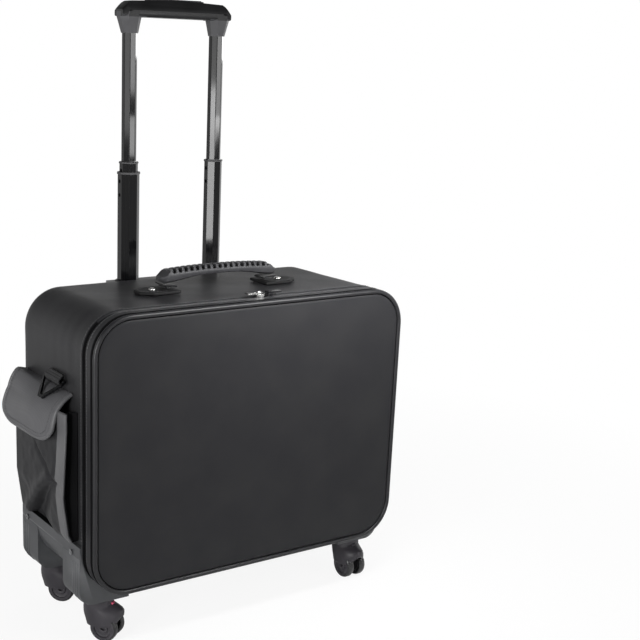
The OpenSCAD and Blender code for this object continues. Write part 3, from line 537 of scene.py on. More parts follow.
def row_tree():
    """Pieces at a spacing along paths, such as stitches, zip teeth and ribs.

    Each has its X along the row and its Z away from the surface.
    """
    tree, ins, ends = group(
        "row_along_path", Piece="NodeSocketObject", Spacing="NodeSocketFloat", Material="NodeSocketMaterial"
    )
    curve = add(tree, "GeometryNodeMeshToCurve", {"Mesh": ins["Path"]}).outputs[0]
    even = add(tree, "GeometryNodeResampleCurve", {"Curve": curve, "Length": ins["Spacing"]}, mode="LENGTH")
    along = add(tree, "GeometryNodeInputTangent").outputs[0]
    way_up = add(tree, "GeometryNodeInputNamedAttribute", {"Name": "up"}, data_type="FLOAT_VECTOR")
    axes = {0: way_up.outputs["Attribute"], 1: along}
    turn = add(tree, "FunctionNodeAxesToRotation", axes, primary_axis="Z", secondary_axis="X")
    part = add(tree, "GeometryNodeObjectInfo", {"Object": ins["Piece"]})
    row = add(tree, "GeometryNodeInstanceOnPoints", {
        "Points": even.outputs[0], "Instance": part.outputs["Geometry"], "Rotation": turn.outputs[0],
    })
    return made_real(tree, row.outputs[0], ins, ends)


def cord_tree():
    """Round cord of one radius along paths, such as bindings and moulded ridges."""
    tree, ins, ends = group("cord_along_path", Radius="NodeSocketFloat", Material="NodeSocketMaterial")
    curve = add(tree, "GeometryNodeMeshToCurve", {"Mesh": ins["Path"]}).outputs[0]
    section = add(tree, "GeometryNodeCurvePrimitiveCircle", {"Resolution": 10, "Radius": ins["Radius"]})
    cover = add(tree, "GeometryNodeCurveToMesh", {
        "Curve": curve, "Profile Curve": section.outputs[0], "Fill Caps": True,
    })
    smooth = add(tree, "GeometryNodeSetShadeSmooth", {"Geometry": cover.outputs[0]})
    return made_real(tree, smooth.outputs[0], ins, ends)


ROW, CORD = row_tree(), cord_tree()


def grown(name, tree, paths, **inputs):
    """What a tree makes on some paths, as a plain mesh. A path is points, ways up, and open or closed."""
    points, edges, ups = [], [], []
    for path, up, closed in paths:
        path = np.asarray(path, float)
        start, n = len(points), len(path)
        points += [tuple(p) for p in path * MM]
        ups += [tuple(u) for u in np.broadcast_to(np.asarray(up, float), path.shape)]
        edges += [(start + i, start + (i + 1) % n) for i in range(n if closed else n - 1)]
    mesh = bpy.data.meshes.new(name)
    mesh.from_pydata(points, edges, [])
    field = mesh.attributes.new("up", "FLOAT_VECTOR", "POINT")
    field.data.foreach_set("vector", np.asarray(ups, float).ravel())
    obj = put(name, mesh)
    mod = obj.modifiers.new("grown", "NODES")
    mod.node_group = tree
    for item in tree.interface.items_tree:
        if item.item_type == "SOCKET" and item.in_out == "INPUT" and item.name in inputs:
            mod[item.identifier] = inputs[item.name]
    return settle(obj)


def master(name, part):
    """A small shape that a tree repeats; only its copies are kept."""
    obj = shape(name, part, [])
    scene.collection.objects.unlink(obj)
    return obj


def lozenge(length, width, height):
    """A short rounded bar along X, lying on z = 0."""
    cos, sin = circle(6)
    return loft([
        np.c_[np.full(6, x * length), width / 2 * s * cos, height / 2 * s * sin]
        for x, s in ((-0.5, 0.35), (-0.3, 1.0), (0.3, 1.0), (0.5, 0.35))
    ], caps=True)


STITCH = master("stitch", lozenge(2.8, 0.9, 0.7))
TOOTH = master("zip_tooth", lozenge(1.5, 3.0, 1.6))


def sewn(name, body, slot, paths, spacing=4.2):
    """Rows of stitches on one body."""
    row = grown(name, ROW, paths, Piece=STITCH, Spacing=spacing * MM, Material=THREAD)
    return keep(row, body, slot)


def corded(name, body, slot, paths, radius, mat):
    """Cords of one radius, in mm, on one body."""
    return keep(grown(name, CORD, paths, Radius=radius * MM, Material=mat), body, slot)


# Case and lid: padded walls in coated nylon, rolled in at the zip, lined inside.
# Their material numbers are coated nylon, lining, and near-black cloth that paints shade in recesses. A zip
# lip is coated along the top only; elsewhere it is near-black, painted shade in the zip groove.
COATED, LINED, SHADE_BLACK, LIP = range(4)
WALL_CLOTHS = [NYLON, LINING, GUSSET]


def skin(rows, dent):
    """A shell lofted through rows of inset, y and material number, each point moved in by dent."""
    ways = outline(0)[1]
    # A lip is coated nylon along the top, and near-black cloth elsewhere: painted shade in the zip groove
    lips = [COATED if way[1] > 0.8 else SHADE_BLACK for way in ways]
    rings, mats = [], []
    for inset, y, mat in rows:
        ring = case_ring(inset, y)
        for i, p in enumerate(ring):
            ring[i] += dent(p, ways[i], inset, mat)
        rings.append(ring)
        mats += lips if mat == LIP else [mat] * ROUND
    points, faces, _ = loft(rings)
    return points, faces, mats[ROUND:]


def lip(rim, way):
    """Rows of a wall's edge at the zip, rolled in."""
    return [
        (5.2, rim + 0.5 * way, LINED), (3.0, rim, LIP),
        (1.0, rim + 0.4 * way, LIP), (0.25, rim + 1.4 * way, LIP),
    ]


def case_body():
    rim, deep = body_lo[1], BACK - WALL
    rows = [(i, deep, LINED) for i in (HEART, 110, 75, REACH, 20, WALL)]
    rows += [(WALL, y, LINED) for y in np.linspace(deep - 12, rim + 3, 9)]
    rows += lip(rim, 1)
    rows += [(0.0, y, COATED) for y in np.linspace(rim + 3, BACK - BACK_R, 28)]
    for a in np.radians(np.arange(15, 91, 15)):
        rows.append((BACK_R * (1 - math.cos(a)), BACK - BACK_R + BACK_R * math.sin(a), COATED))
    rows += [(i, BACK, COATED) for i in (20, 27, 35, REACH, 65, 90, 120, HEART)]

    def dent(p, way, inset, mat):
        """Slack in the cloth, with ripples in the sides near the zip."""
        if mat == LINED or p[1] < rim + 2:
            return 0.0
        away = p[1] - rim
        calm = min(away / 18, 1.0)
        soft = 0.55 + 0.35 * wave(p, 85, 3.1) + 0.2 * wave(p, 30, 7.7)
        ripple = 0.35 * (1 + math.sin(away / 3.6)) * math.exp(-away / 45) * abs(way[0])
        deep_in = 1.1 * calm * max(soft, 0.0) + ripple * calm
        if inset > BACK_R:
            return np.array([0.0, -deep_in, 0.0])
        return np.array([-way[0], 0.0, -way[1]]) * deep_in

    body = shape("case_body", skin(rows, dent), WALL_CLOTHS, angle=50)
    keep(body, "case", "coated_nylon", "body_shell")


def lid():
    rim, inner, lining = lid_hi[1], FRONT + WALL, 6.4
    rows = [(i, inner, LINED) for i in (HEART, 110, 75, REACH, 20, lining)]
    rows += [(lining, y, LINED) for y in (inner + 6, rim - 3)]
    rows += lip(rim, -1)
    rows += [(0.0, y, COATED) for y in (rim - 3, rim - 6, rim - 9, rim - 12, FRONT + 8)]
    groove = (
        (0.5, 6.1), (1.8, 5.1), (3.4, 4.8), (6.3, 4.7), (6.4, 3.2), (6.5, 1.6), (6.9, 0.8),
    )
    # The groove round the piping is in the near-black cloth: painted shade on each side of the bead
    rows += [(inset, FRONT + y, SHADE_BLACK) for inset, y in groove] + [(7.8, FRONT + 0.25, COATED)]
    for inset in (9.5, 12, 15, 19, 24, 30, 37, REACH, 56, 70, 86, 104, 126, HEART):
        rows.append((inset, FRONT - 1.3 * (1 - math.exp(-(inset - 9.5) / 26)), COATED))

    def dent(p, way, inset, mat):
        """Slight waves in the front panel."""
        if mat == LINED or inset < 12:
            return 0.0
        return np.array([0.0, 0.22 * wave(p, 60, 1.3) + 0.1 * wave(p, 22, 5.0), 0.0])

    panel = shape("lid_panel", skin(rows, dent), WALL_CLOTHS, angle=50)
    keep(panel, "lid", "coated_nylon", "lid_shell")
    lo, hi = limits("lid_piping")
    r = (hi[1] - lo[1]) / 2
    cos, sin = circle(14)
    bead = shape("lid_piping_cord", swept(np.c_[r + r * cos, lo[1] + r + r * sin]), [PIPING], angle=60)
    keep(bead, "lid", "piping_cord", "lid_piping")


def zip_side(name, body, node, way):
    """One half of the zip: woven tape on three sides, with its coil."""
    near, far, outer, inner = ZIP + 0.1 * way, ZIP + 3.0 * way, 3.2, 4.4
    tape = swept([(outer, near), (inner, near), (inner, far), (outer, far)], ZIPPED)
    keep(shape(name + "_tape", tape, [TAPE]), body, "zip_tape", node)
    path = round_case(2.8, ZIP + 1.5 * way, ZIPPED)
    coil = grown(name + "_coil", ROW, [path], Piece=TOOTH, Spacing=2.4 * MM, Material=COIL)
    keep(coil, body, "zip_tape")


def hinge():
    lo, hi = limits("hinge_strip")
    free, dip, wrinkle = 4, 0.5, 0.1
    rows = []
    for y in np.linspace(lo[1], hi[1], 17):
        z = hi[2] - 0.15 - dip * math.exp(-((y - ZIP) / free) ** 2)
        rows.append([(x, y, z + wrinkle * wave((x, y, 0), 40)) for x in np.linspace(lo[0], hi[0], 50)])
    # The hinge is in the near-black cloth: painted shade in the fold between case and lid
    strip = shape("hinge_fabric", thick(rows, 0.9), [GUSSET])
    span(strip, "hinge_strip")


def stays():
    """Stay straps, shaped so that each one pulls straight when the lid is open."""
    _, hi = limits("stay_straps")
    half, high = 10.0, hi[2] - GROUND - 3
    opening = math.radians(JOINTS["lid_hinge"]["range_deg"][1])

    def turned(y, z, angle):
        c, s = math.cos(angle), math.sin(angle)
        return y * c - z * s, y * s + z * c

    start = np.array([half, high])
    end = np.array(turned(-half, high, opening))
    path = []
    for k in np.linspace(0, 1, 33):
        q = start + k * (end - start)
        tries = []
        for w in np.linspace(0, 1, 401):
            y, z = turned(*q, -w * opening)
            miss = abs(soft_step((half - y) / (2 * half)) - w) + 0.3 * abs(w - k)
            tries.append((miss, y, z))
        _, y, z = min(tries, key=lambda row: row[0])
        path.append((ZIP + y, GROUND + z))
    path = smooth_path(path[::2], 40)
    width = hi[0] - STAY_INNER
    parts = []
    for side in (-1, 1):
        mid = side * (hi[0] - width / 2)
        grid = [[(mid + w, y, z) for w in np.linspace(-width / 2, width / 2, 5)] for y, z in path]
        parts.append(thick(grid, 1.2))
    piece = shape("stay_webbing", gather(*parts), [WEBBING])
    span(piece, "stay_straps")


case_body()
lid()
zip_side("zip_case", "case", "zip_tape_case", 1)
zip_side("zip_lid", "lid", "zip_tape_lid", -1)
hinge()
stays()
sewn("case_edge_stitches", "case", "coated_nylon", [round_case(-0.05, ZIP + 7.5, ZIPPED)])
sewn("lid_edge_stitches", "lid", "coated_nylon", [round_case(-0.05, ZIP - 7.5, ZIPPED)])


# Trolley: drawn tubes with plastic collars, a faceted grip and its button
def octagon(mid, half, z):
    """A level ring with eight sides, half mm from its middle to a side along X and along Y."""
    corners = np.radians(22.5 + 45 * np.arange(8))
    along, across = np.broadcast_to(half, 2) / math.cos(math.radians(22.5))
    return np.c_[mid[0] + along * np.cos(corners), mid[1] + across * np.sin(corners), np.full(8, z)]


def grip_form(lo, hi):
    """The trolley grip's outer form: eight-sided legs that grow out of the tubes, under a soft bar."""
    t_lo, t_hi = limits("stage3_right")
    tube, half = (t_lo + t_hi) / 2, (t_hi[0] - t_lo[0]) / 2 + 0.9
    end, tall = tube[0] + half + 6.0, hi[2] - lo[2]
    leg_full, squareness = 0.47, 0.4
    parts = []
    for side in (-1, 1):
        rings = []
        for share in (-0.02, 0.3, leg_full, 0.62):
            grow = clamp(share / leg_full)
            wider = half + grow * np.array([5.0, 4.0])
            ring = octagon((tube[0] + grow, tube[1]), wider, lo[2] + share * tall)
            rings.append(ring * (side, 1, 1))
        parts.append(loft(rings, caps=True))
    across, rise = (np.sign(c) * np.abs(c) ** squareness for c in circle(28))
    rings = []
    for x in end * np.sin(np.linspace(-math.pi / 2, math.pi / 2, 41)):
        near = max((abs(x) / end - 0.72) / 0.28, 0)
        top = hi[2] + 0.6 - 1.6 * (x / end) ** 2 - 13 * near ** 2.2
        foot = lo[2] + 0.44 * tall + 1.5 * (x / end) ** 2
        deep = (hi[1] - lo[1]) / 2 * (1.04 - 0.24 * near ** 2)
        rings.append(np.c_[
            np.full(28, x), tube[1] + deep * across, (top + foot) / 2 + (top - foot) / 2 * rise,
        ])
    return gather(*parts, loft(rings, caps=True))


def trolley():
    tubes = {
        "housing_left": "case", "housing_right": "case",
        "stage1_right": "case", "stage1_left": "outer_tube_left",
        "stage2_left": "middle_tube_left", "stage2_right": "middle_tube_right",
        "stage3_left": "trolley", "stage3_right": "trolley",
    }
    for node, body in tubes.items():
        fitted(node + "_tube", node, ALUMINIUM, 0.6, body, "tube")
    for node in ("housing_left", "housing_right", "stage1_left", "stage2_left", "stage2_right"):
        lo, hi = limits(node)
        mid, half = (lo + hi) / 2, (hi[0] - lo[0]) / 2
        # The inner collars stay under the grip when the trolley is down
        top = -0.4 if node.startswith("stage2") else 0.6
        profile = (
            (-1.7, top - 0.4), (-1.2, top), (0.3, top), (0.8, top - 0.5),
            (0.8, -2.6), (0.4, -3.0), (-0.3, -3.0), (-1.7, top - 0.4),
        )
        rings = [octagon(mid, half + out, hi[2] + z) for out, z in profile]
        keep(shape(node + "_collar", loft(rings), [ABS]), tubes[node], "moulded_plastic")
    grip = eased("trolley_handle", "trolley_grip", [ABS, GREY_ABS], 1.8, 4)
    lo, hi = limits("trolley_grip")
    form = shape("grip_form", grip_form(lo, hi), [ABS, GREY_ABS])
    cut = grip.modifiers.new("form", "BOOLEAN")
    cut.operation = "INTERSECT"
    cut.solver = "EXACT"
    cut.use_self = True
    cut.object = form
    grip = settle(grip)
    bpy.data.objects.remove(form)
    grip.data.set_sharp_from_angle(angle=math.radians(24))
    grey_below, grey_beyond = lo[2] + 0.52 * (hi[2] - lo[2]), 46
    for face in grip.data.polygons:
        c = face.center / MM
        if c[2] < grey_below and abs(c[0]) > grey_beyond:
            face.material_index = 1
    keep(grip, "trolley", "moulded_plastic", "trolley_grip")
    fitted("release_bar", "release_button", GREY_ABS, 0.8, "release", "button_plastic")
    for node in ("trolley_top_bracket", "trolley_bottom_bracket"):
        fitted(node + "_moulding", node, ABS, 1.6, "case", "moulded_plastic")


trolley()


# Base and casters
def base():
    ridge_top, ridge_insets = 56, (7, 13, 19)
    ridges = []
    for node, side in (("side_base_left", -1), ("side_base_right", 1)):
        fitted(node + "_moulding", node, BASE, 2.4, "case", "base_plastic", 4)
        lo, hi = limits(node)
        turn = np.radians(np.linspace(0, -75, 12))
        x = np.append(hi[0] if side > 0 else -lo[0], SIDE + 4 - LEG_R + LEG_R * np.cos(turn)) - 0.3
        z = np.append(lo[2] + ridge_top, lo[2] + LEG_R + LEG_R * np.sin(turn))
        for y in [lo[1] + i for i in ridge_insets] + [hi[1] - i for i in ridge_insets]:
            ridges.append((np.c_[side * x, np.full(len(x), y), z], (0, 0, 1), False))
    corded("base_ridges", "case", "base_plastic", ridges, 1.1, BASE)
    fitted("caster_mounts", "caster_sockets", HOOD, 1.2, "case", "base_plastic")


# Rows of a caster's hood: share of the way from neck to brim, shift behind the stem, half length, half width
HOOD_ROWS = (
    (0.0, 0.0, 14.5, 14.5), (0.02, 0.0, 17.2, 17.2), (0.06, 0.0, 18.6, 18.6), (0.14, 0.0, 19.0, 19.0),
    (0.3, 0.0, 19.1, 19.0), (0.36, 1.0, 20.4, 19.0), (0.44, 3.6, 23.2, 18.9), (0.54, 6.0, 25.6, 18.9),
    (0.66, 7.6, 26.4, 18.8), (0.8, 8.6, 25.6, 18.7), (0.94, 9.2, 24.6, 18.5), (0.985, 9.3, 24.2, 18.2),
    (1.0, 9.3, 23.2, 17.2), (0.985, 9.3, 22.2, 16.4), (0.8, 9.0, 22.4, 16.3), (0.62, 8.0, 22.0, 16.2),
    (0.5, 6.0, 12.0, 10.0),
)


def caster(place):
    swivel, spin = JOINTS["swivel_" + place], JOINTS["spin_" + place]
    pivot, centre = np.array(swivel["pos_m"]) / MM, np.array(spin["pos_m"]) / MM
    axle, up = np.array(spin["axis"]), np.array([0, 0, 1])
    stem_tall, web_half, pin_r, pin_half = 10.7, 3.9, 3.0, 4.7
    stem = pivot * (1, 1, 0)
    behind = (centre - pivot) * (1, 1, 0)
    trail = np.linalg.norm(behind)
    behind = behind / trail
    neck = limits("hood_" + place)[1][2] - stem_tall
    cos, sin = circle(56)
    brim = centre[2] + 2 + 13 * np.maximum(cos, 0) ** 3 - 3 * np.maximum(-cos, 0) ** 2
    dome = loft([
        stem + np.outer(shift + long * cos, behind) + np.outer(wide * sin, axle)
        + np.outer(neck + (brim - neck) * share, up)
        for share, shift, long, wide in HOOD_ROWS
    ], caps=True)
    lobe = np.radians(np.linspace(180, 360, 13))
    side = [(trail + 6 * math.cos(a), centre[2] + 6 * math.sin(a)) for a in lobe]
    side += [(trail + 9, neck - 12), (trail - 9, neck - 12)]
    web = [[stem + behind * x + up * z + axle * w for x, z in side] for w in (-web_half, web_half)]
    hood = shape("caster_hood_" + place, gather(dome, loft(web, caps=True)), [HOOD], angle=40)
    keep(hood, "caster_" + place, "base_plastic", "hood_" + place)
    tab_mat = RED if "left" in place else HOOD
    fitted("caster_tab_red_" + place, "tab_" + place, tab_mat, 0.9, "caster_tab_" + place, "red_plastic")

    tread = centre[2]
    # Rows of one wheel: radius, distance along the axle, and material number, for tyre, hub and pin
    rubber, plastic, steel = range(3)
    profile = [
        (0, 4.6, plastic), (tread - 7, 4.6, plastic), (tread - 6, 5.2, rubber), (tread - 3, 4.6, rubber),
        (tread - 1, 5.3, rubber), (tread, 7.3, rubber), (tread, 12.4, rubber), (tread - 1, 14.4, rubber),
        (tread - 2.6, 15.2, rubber), (tread - 5.8, 15.0, plastic), (tread - 6.6, 13.2, plastic),
        (tread - 8.5, 12.6, plastic), (7.0, 12.6, plastic), (6.2, 14.2, plastic), (4.6, 14.6, plastic),
        (3.2, 14.0, plastic), (2.8, 10.5, plastic), (0, 10.5, plastic),
    ]
    cos, sin = circle(40)
    rim = np.outer(cos, np.cross(axle, up)) + np.outer(sin, up)
    parts = []
    for s in (-1, 1):
        points, faces, _ = loft([centre + s * w * axle + r * rim for r, w, _ in profile])
        parts.append((points, faces, [m for _, _, m in profile[1:] for _ in rim]))
    pin = loft([centre + w * axle + pin_r * rim for w in (-pin_half, pin_half)], caps=True, mat=steel)
    wheels = shape("caster_wheels_" + place, gather(*parts, pin), [TYRE, HUB, STEEL], angle=40)
    keep(wheels, "wheel_pair_" + place, "wheel_rubber", "wheels_" + place)


base()
for place in ("front_left", "front_right", "rear_left", "rear_right"):
    caster(place)
fitted("case_screw_heads", "case_screws", STEEL, 0.35, "case", "steel", 2)


# Carry handle: ribbed rubber grip on folded straps, held by riveted plates
def carry_handle():
    lo, hi = limits("carry_grip")
    mid_y, half, wide = (lo[1] + hi[1]) / 2, (hi[0] - lo[0]) / 2, (hi[1] - lo[1]) / 2
    tall, ribbed, rib_row, rib_step = 14.0, 0.84, 72, 8.4
    rise = hi[2] - lo[2] - tall
    bend = (half ** 2 + rise ** 2) / (2 * rise)

    def middle(x):
        """Height of the grip's bowed middle line."""
        return hi[2] - tall / 2 - bend + math.sqrt(bend ** 2 - x ** 2)

    ends = np.linspace(0.86, 1, 9)
    xs = np.concatenate([-ends[::-1], np.linspace(-0.86, 0.86, 61)[1:-1], ends]) * half
    rings = []
    for x in xs:
        k = abs(x) / half
        nose = math.sqrt(max(1 - max((k - 0.88) / 0.12, 0) ** 2, 0.12))
        w, blunt = wide * nose, tall / 2 * (0.45 + 0.55 * nose)
        t_up = blunt * (0.86 + 0.14 * min(k / 0.8, 1)) * (1 - 0.8 * soft_step((k - 0.83) / 0.13))
        t_dn = blunt * (0.55 + 0.45 * clamp((k - 0.35) / 0.4))
        groove = 3.4 * clamp((ribbed - k) / 0.03)
        floor = t_up - groove
        side = [
            (0.72, -t_dn), (0.93, -t_dn * 0.72), (1.0, -t_dn * 0.1), (1.0, t_up * 0.3),
            (0.96, t_up * 0.8 - groove * 0.6), (0.9, t_up - groove * 0.75), (0.84, floor), (0.5, floor),
        ]
        section = [(-w * out, up) for out, up in side] + [(0, floor)]
        section += [(w * out, up) for out, up in side[::-1]] + [(0, -t_dn * 1.02)]
        rings.append([(x, mid_y + y, middle(x) + up) for y, up in section])
    points, faces, mats = loft(rings, caps=True)
    n = len(section)
    for i in range(len(xs) - 1):
        if max(abs(xs[i]), abs(xs[i + 1])) < ribbed * half:
            mats[i * n + 4:i * n + 12] = [1] * 8
    grip = shape("carry_handle_grip", (points, faces, mats), [RUBBER, CORE], angle=38)
    keep(grip, "carry_handle", "handle_rubber", "carry_grip")
    arm = []
    for y in np.linspace(-wide * 0.97, wide * 0.97, 13):
        x = 2.6 - 5.6 * abs(y) / wide
        top = 0.8 - 3.2 * max(abs(y) / wide - 0.75, 0) / 0.22
        arm.append([(x - 2.4, y, -3.6), (x - 1.7, y, top), (x + 1.7, y, top), (x + 2.4, y, -3.6)])
    rib = master("grip_rib", loft(arm, caps=True))
    line = np.array([
        (x, mid_y, middle(x) + tall / 2 * (0.86 + 0.14 * abs(x) / half / 0.8))
        for x in np.linspace(-rib_row, rib_row, 60)
    ])
    up = np.array([(x / bend, 0, 1) for x in line[:, 0]])
    row = [(line, up, False)]
    ribs = grown("carry_grip_ribs", ROW, row, Piece=rib, Spacing=rib_step * MM, Material=RUBBER)
    keep(ribs, "carry_handle", "handle_rubber")

    s_lo, s_hi = limits("handle_straps")
    foot, top, y = s_lo[2] + 0.3, s_hi[2] - 0.1, (s_lo[1] + s_hi[1]) / 2
    fold = smooth_path([
        (81, foot + 1.6), (74, foot + 1.4), (68.5, foot + 1.6), (66.2, foot + 3.2), (68, foot + 4.8),
        (74, top - 1.2), (80, top - 0.5), (85.5, top - 0.2),
    ], 40)
    straps = shape("carry_straps", two_straps(fold, s_hi[1] - s_lo[1], 1.6, y), [WEBBING])
    span(straps, "handle_straps")

    fitted("carry_plates", "handle_plates", CORE, 1.2, "case", "moulded_plastic")
    p_lo, p_hi = limits("handle_plates")
    r_lo, r_hi = limits("handle_rivets")
    cos, sin = circle(20)
    head_r = 4.5
    dome = ((head_r, 0), (head_r, 0.5), (4.1, 1.1), (3.2, 1.6), (2.0, 1.9), (0.8, 2.0), (0.0, 2.0))
    heads, seams = [], []
    for s in (-1, 1):
        spot = (s * (r_hi[0] - head_r), MIDDLE, r_lo[2])
        heads.append(loft([np.c_[r * cos, r * sin, np.full(20, z)] + spot for r, z in dome]))
        x0, x1, bend_x = s * 84, s * (p_hi[0] - 5), s * 101
        y0, y1, z = p_lo[1] + 4, p_hi[1] - 4, p_hi[2] + 0.1
        seam = [(x0, y0, z), (bend_x, y0, z), (x1, y0 + 9, z), (x1, y1 - 9, z), (bend_x, y1, z), (x0, y1, z)]
        seams.append((np.array(seam), (0, 0, 1), False))
    keep(shape("carry_rivets", gather(*heads), [NICKEL]), "case", "steel", "handle_rivets")
    sewn("plate_stitches", "case", "moulded_plastic", seams)


carry_handle()
for name, metal in (("left", NICKEL), ("right", BLACK_NICKEL)):
    slider, pull = "slider_" + name, "pull_" + name
    fitted("zip_slider_body_" + name, slider, metal, 0.5, "zip_slider_" + name, "zip_metal")
    fitted("zip_puller_" + name, pull, metal, 0.4, "zip_pull_" + name, "zip_metal")


# Side pockets: slack cloth with bellows gussets, under padded flaps with a strap ring above
def pocket(name, side, seed):
    lo, hi = limits("pocket_" + name)
    y0, y1, z0, z1 = lo[1], hi[1], lo[2], hi[2]
    wall, full = SIDE + 0.3, hi[0] - lo[0]
    # Width of the paler band along the front edge, painted highlight where the face turns to the light, and
    # the slanting lip's height at its front end and its fall to the rear
    band, lip_high, lip_fall = 17.0, 218, 78
    # Where the lip starts, how far it runs to the rear, and the height and slope of the crease there
    lip_y, lip_run, crease_z, crease_slope = -58, 98, 217, 0.62

    def depth(y, z):
        """Depth of the pocket's plain face, less at its foot and at its upper front corner."""
        flat = np.interp(z - z0, [0, 8, 58, z1 - z0], [10.5, 15, full, full])
        return flat - 5.5 * max(1 - (y - y0) / 55, 0) * clamp((z - z0 - 50) / 90)

    def slack(y, z):
        """How far the cloth stands out from the pocket's plain face: a lip, and the tuck under it."""
        u, w = (y - y0) / (y1 - y0), (z - z0) / (z1 - z0)
        puff = 2.2 * math.sin(math.pi * u) * math.sin(math.pi * min(w * 1.1, 1))
        below = lip_high - lip_fall * max((y - lip_y) / lip_run, 0) ** 1.15 - z
        tuck = 4.2 * math.exp(-(below / 13) ** 2)
        if below > 0:
            rear = clamp((y + 45) / 50)
            hollow = (1 - math.exp(-(below / 4.5) ** 2)) * math.exp(-below / (16 + 36 * rear))
            tuck -= (14 + 5 * rear) * hollow
        line = abs((z - crease_z) - crease_slope * (y - lip_y)) / 1.18
        crease = -2.2 * math.exp(-(line / 3.5) ** 2) if y < -10 else 0.0
        small = 0.9 * wave((y, z, seed), 26) + 0.5 * wave((y, z, seed + 3), 11)
        return puff + tuck * clamp(u / 0.32) + crease + small * min(6 * u * (1 - u), 1)

    columns, rows = np.linspace(0, 1, 101), np.linspace(z0 + 0.5, z1, 121)
    face, front, rear = [], [], []
    for z in rows:
        row = []
        for c in columns:
            y = y0 + 1 + (y1 - y0 - 2) * c
            out = depth(y, z) + slack(y, z) * min(6 * c, 1) * min(6 * (1 - c), 1)
            row.append((side * (wall + max(out, 2.2)), y, z))
        face.append(row)
        fold = 8 * min((z - z0) / 40, 1) + 1.2 * wave((z, seed, 1), 40)
        for grid, y, way in ((front, y0, 1), (rear, y1, -1)):
            grid.append([
                (side * (wall + depth(y, z) * s), y + way * (1 + fold * (1 - abs(2 * s - 1))), z)
                for s in np.linspace(0.03, 1, 13)
            ])
    coated, near_black, lit_edge = range(3)
    cloth_part = thick(face, 1.4 * side, coated)
    pleats = [thick(grid, 1.0, near_black) for grid in (front, rear)]
    around, deep = 2 * len(columns), len(front[0])
    for i in range(len(rows) - 1):
        # The front band is in the paler binding cloth: painted highlight
        for j in range(sum(columns * (y1 - y0) < band) - 1):
            cloth_part[2][around * (i + 1) - 2 - j] = lit_edge
        # Towards the wall the gussets are near-black, painted shade in the corner; their outer third is
        # coated nylon
        for j in range(deep * 2 // 3, deep - 1):
            for _, _, mats in pleats:
                mats[2 * deep * i + j] = coated
                mats[2 * deep * (i + 1) - 2 - j] = coated
    # The pocket's floor is near-black too: painted shade
    floor = thick([
        [(side * (wall + 0.5 + 9.5 * s), y, z0 + 0.4) for s in np.linspace(0, 1, 4)]
        for y in np.linspace(y0 + 1, y1 - 1, 8)
    ], 1.0, near_black)
    whole = gather(cloth_part, *pleats, floor)
    bag = shape("pocket_cloth_" + name, whole, [NYLON, GUSSET, BINDING], angle=60)
    keep(bag, "case", "coated_nylon", "pocket_" + name)
    grid = np.array(face)
    beads = [(grid[:, column] - (side * 0.6, 0, 0), (0, 0, 1), False) for column in (0, -1)]
    hem = (grid[-1] - (side * 0.7, 0, 0.6), (side, 0, 0), False)
    seam = (grid[-6] + (side * 0.15, 0, 0), (side, 0, 0), False)
    # Beads and hem are in the paler binding cloth: painted highlight along the pocket's edges
    corded("pocket_beads_" + name, "case", "coated_nylon", beads, 2.1, BINDING)
    corded("pocket_hem_" + name, "case", "coated_nylon", [hem], 1.6, BINDING)
    sewn("pocket_stitches_" + name, "case", "coated_nylon", [seam])


def flap(name, side, seed):
    lo, hi = limits("flap_" + name)
    body = "pocket_flap_" + name
    mid, half = (lo[1] + hi[1]) / 2, (hi[1] - lo[1]) / 2 - 1
    root, back = SIDE + 0.4, FLAP_BOW - (hi[0] - lo[0])
    sink = math.sqrt(FLAP_BOW ** 2 - back ** 2)
    start = math.asin(back / FLAP_BOW)
    length = FLAP_BOW * (math.acos((sink - hi[2] + lo[2]) / FLAP_BOW) - start) - 2
    corner = 26.0
    centre = np.array([side * (root - back), mid, hi[2] - sink])

    def point(a, q, lift=0.0):
        """A place on the flap, a mm down from its root, q mm from its middle and lift mm above its cloth."""
        k = min(max(q / half, -1), 1)
        droop = (9 if k < 0 else 1) * abs(k) ** 3 * min(a / 45, 1)
        crown = 0.5 * wave((a, q, seed), 45) + 0.3 * wave((a, q, seed + 9), 18)
        puff = np.interp(a, [0, 5, 11, 18.5, 26, 34, 51, 67], [0, 2.8, 7.4, 4.6, 1.6, -1.3, -1.2, 0.7])
        puff *= soft_step((k + 0.35) / 1.2)
        r = FLAP_BOW - 0.6 - droop + puff + crown * min(a / 20, 1) + lift
        turn = start + a / FLAP_BOW
        return centre + (side * r * math.sin(turn), q, r * math.cos(turn))

    def edge(a, inset=0.0):
        """Half the flap's width a mm down from its root, with rounded corners at its foot."""
        left, r = length - inset - a, corner - inset
        cut = r - math.sqrt(max(r * r - (r - left) ** 2, 0)) if left < r else 0
        return half - inset - cut

    bend = np.sin(np.linspace(0, math.pi / 2, 16)[1:])
    rows = np.concatenate([np.linspace(0, length - corner, 26), length - corner * (1 - bend)])
    grid = [[point(a, edge(a) * t) for t in np.linspace(-1, 1, 49)] for a in rows]
    pad = shape("pocket_flap_cloth_" + name, thick(grid, 3.0 * side), [PADDED], angle=60)
    keep(pad, body, "coated_nylon", "flap_" + name)

    def rim(inset, lift):
        """A path round the flap's free edge, inset mm in from it."""
        foot = length - inset
        sides = [a for a in rows if a < foot - 0.2]
        path = [point(a, -edge(a, inset), lift) for a in sides]
        path += [point(foot, q, lift) for q in np.linspace(-edge(foot, inset), edge(foot, inset), 30)]
        path += [point(a, edge(a, inset), lift) for a in sides[::-1]]
        return np.array(path)

    # The binding cord is in the paler binding cloth: painted highlight along the flap's edge
    lit_edge = [(rim(0.4, -1.5), (side, 0, 0), False)]
    corded("flap_binding_" + name, body, "coated_nylon", lit_edge, 2.9, BINDING)
    line = rim(7.5, 0.15)
    sewn("flap_stitches_" + name, body, "coated_nylon", [(line, (line - centre) * (1, 0, 1), False)], 3.8)


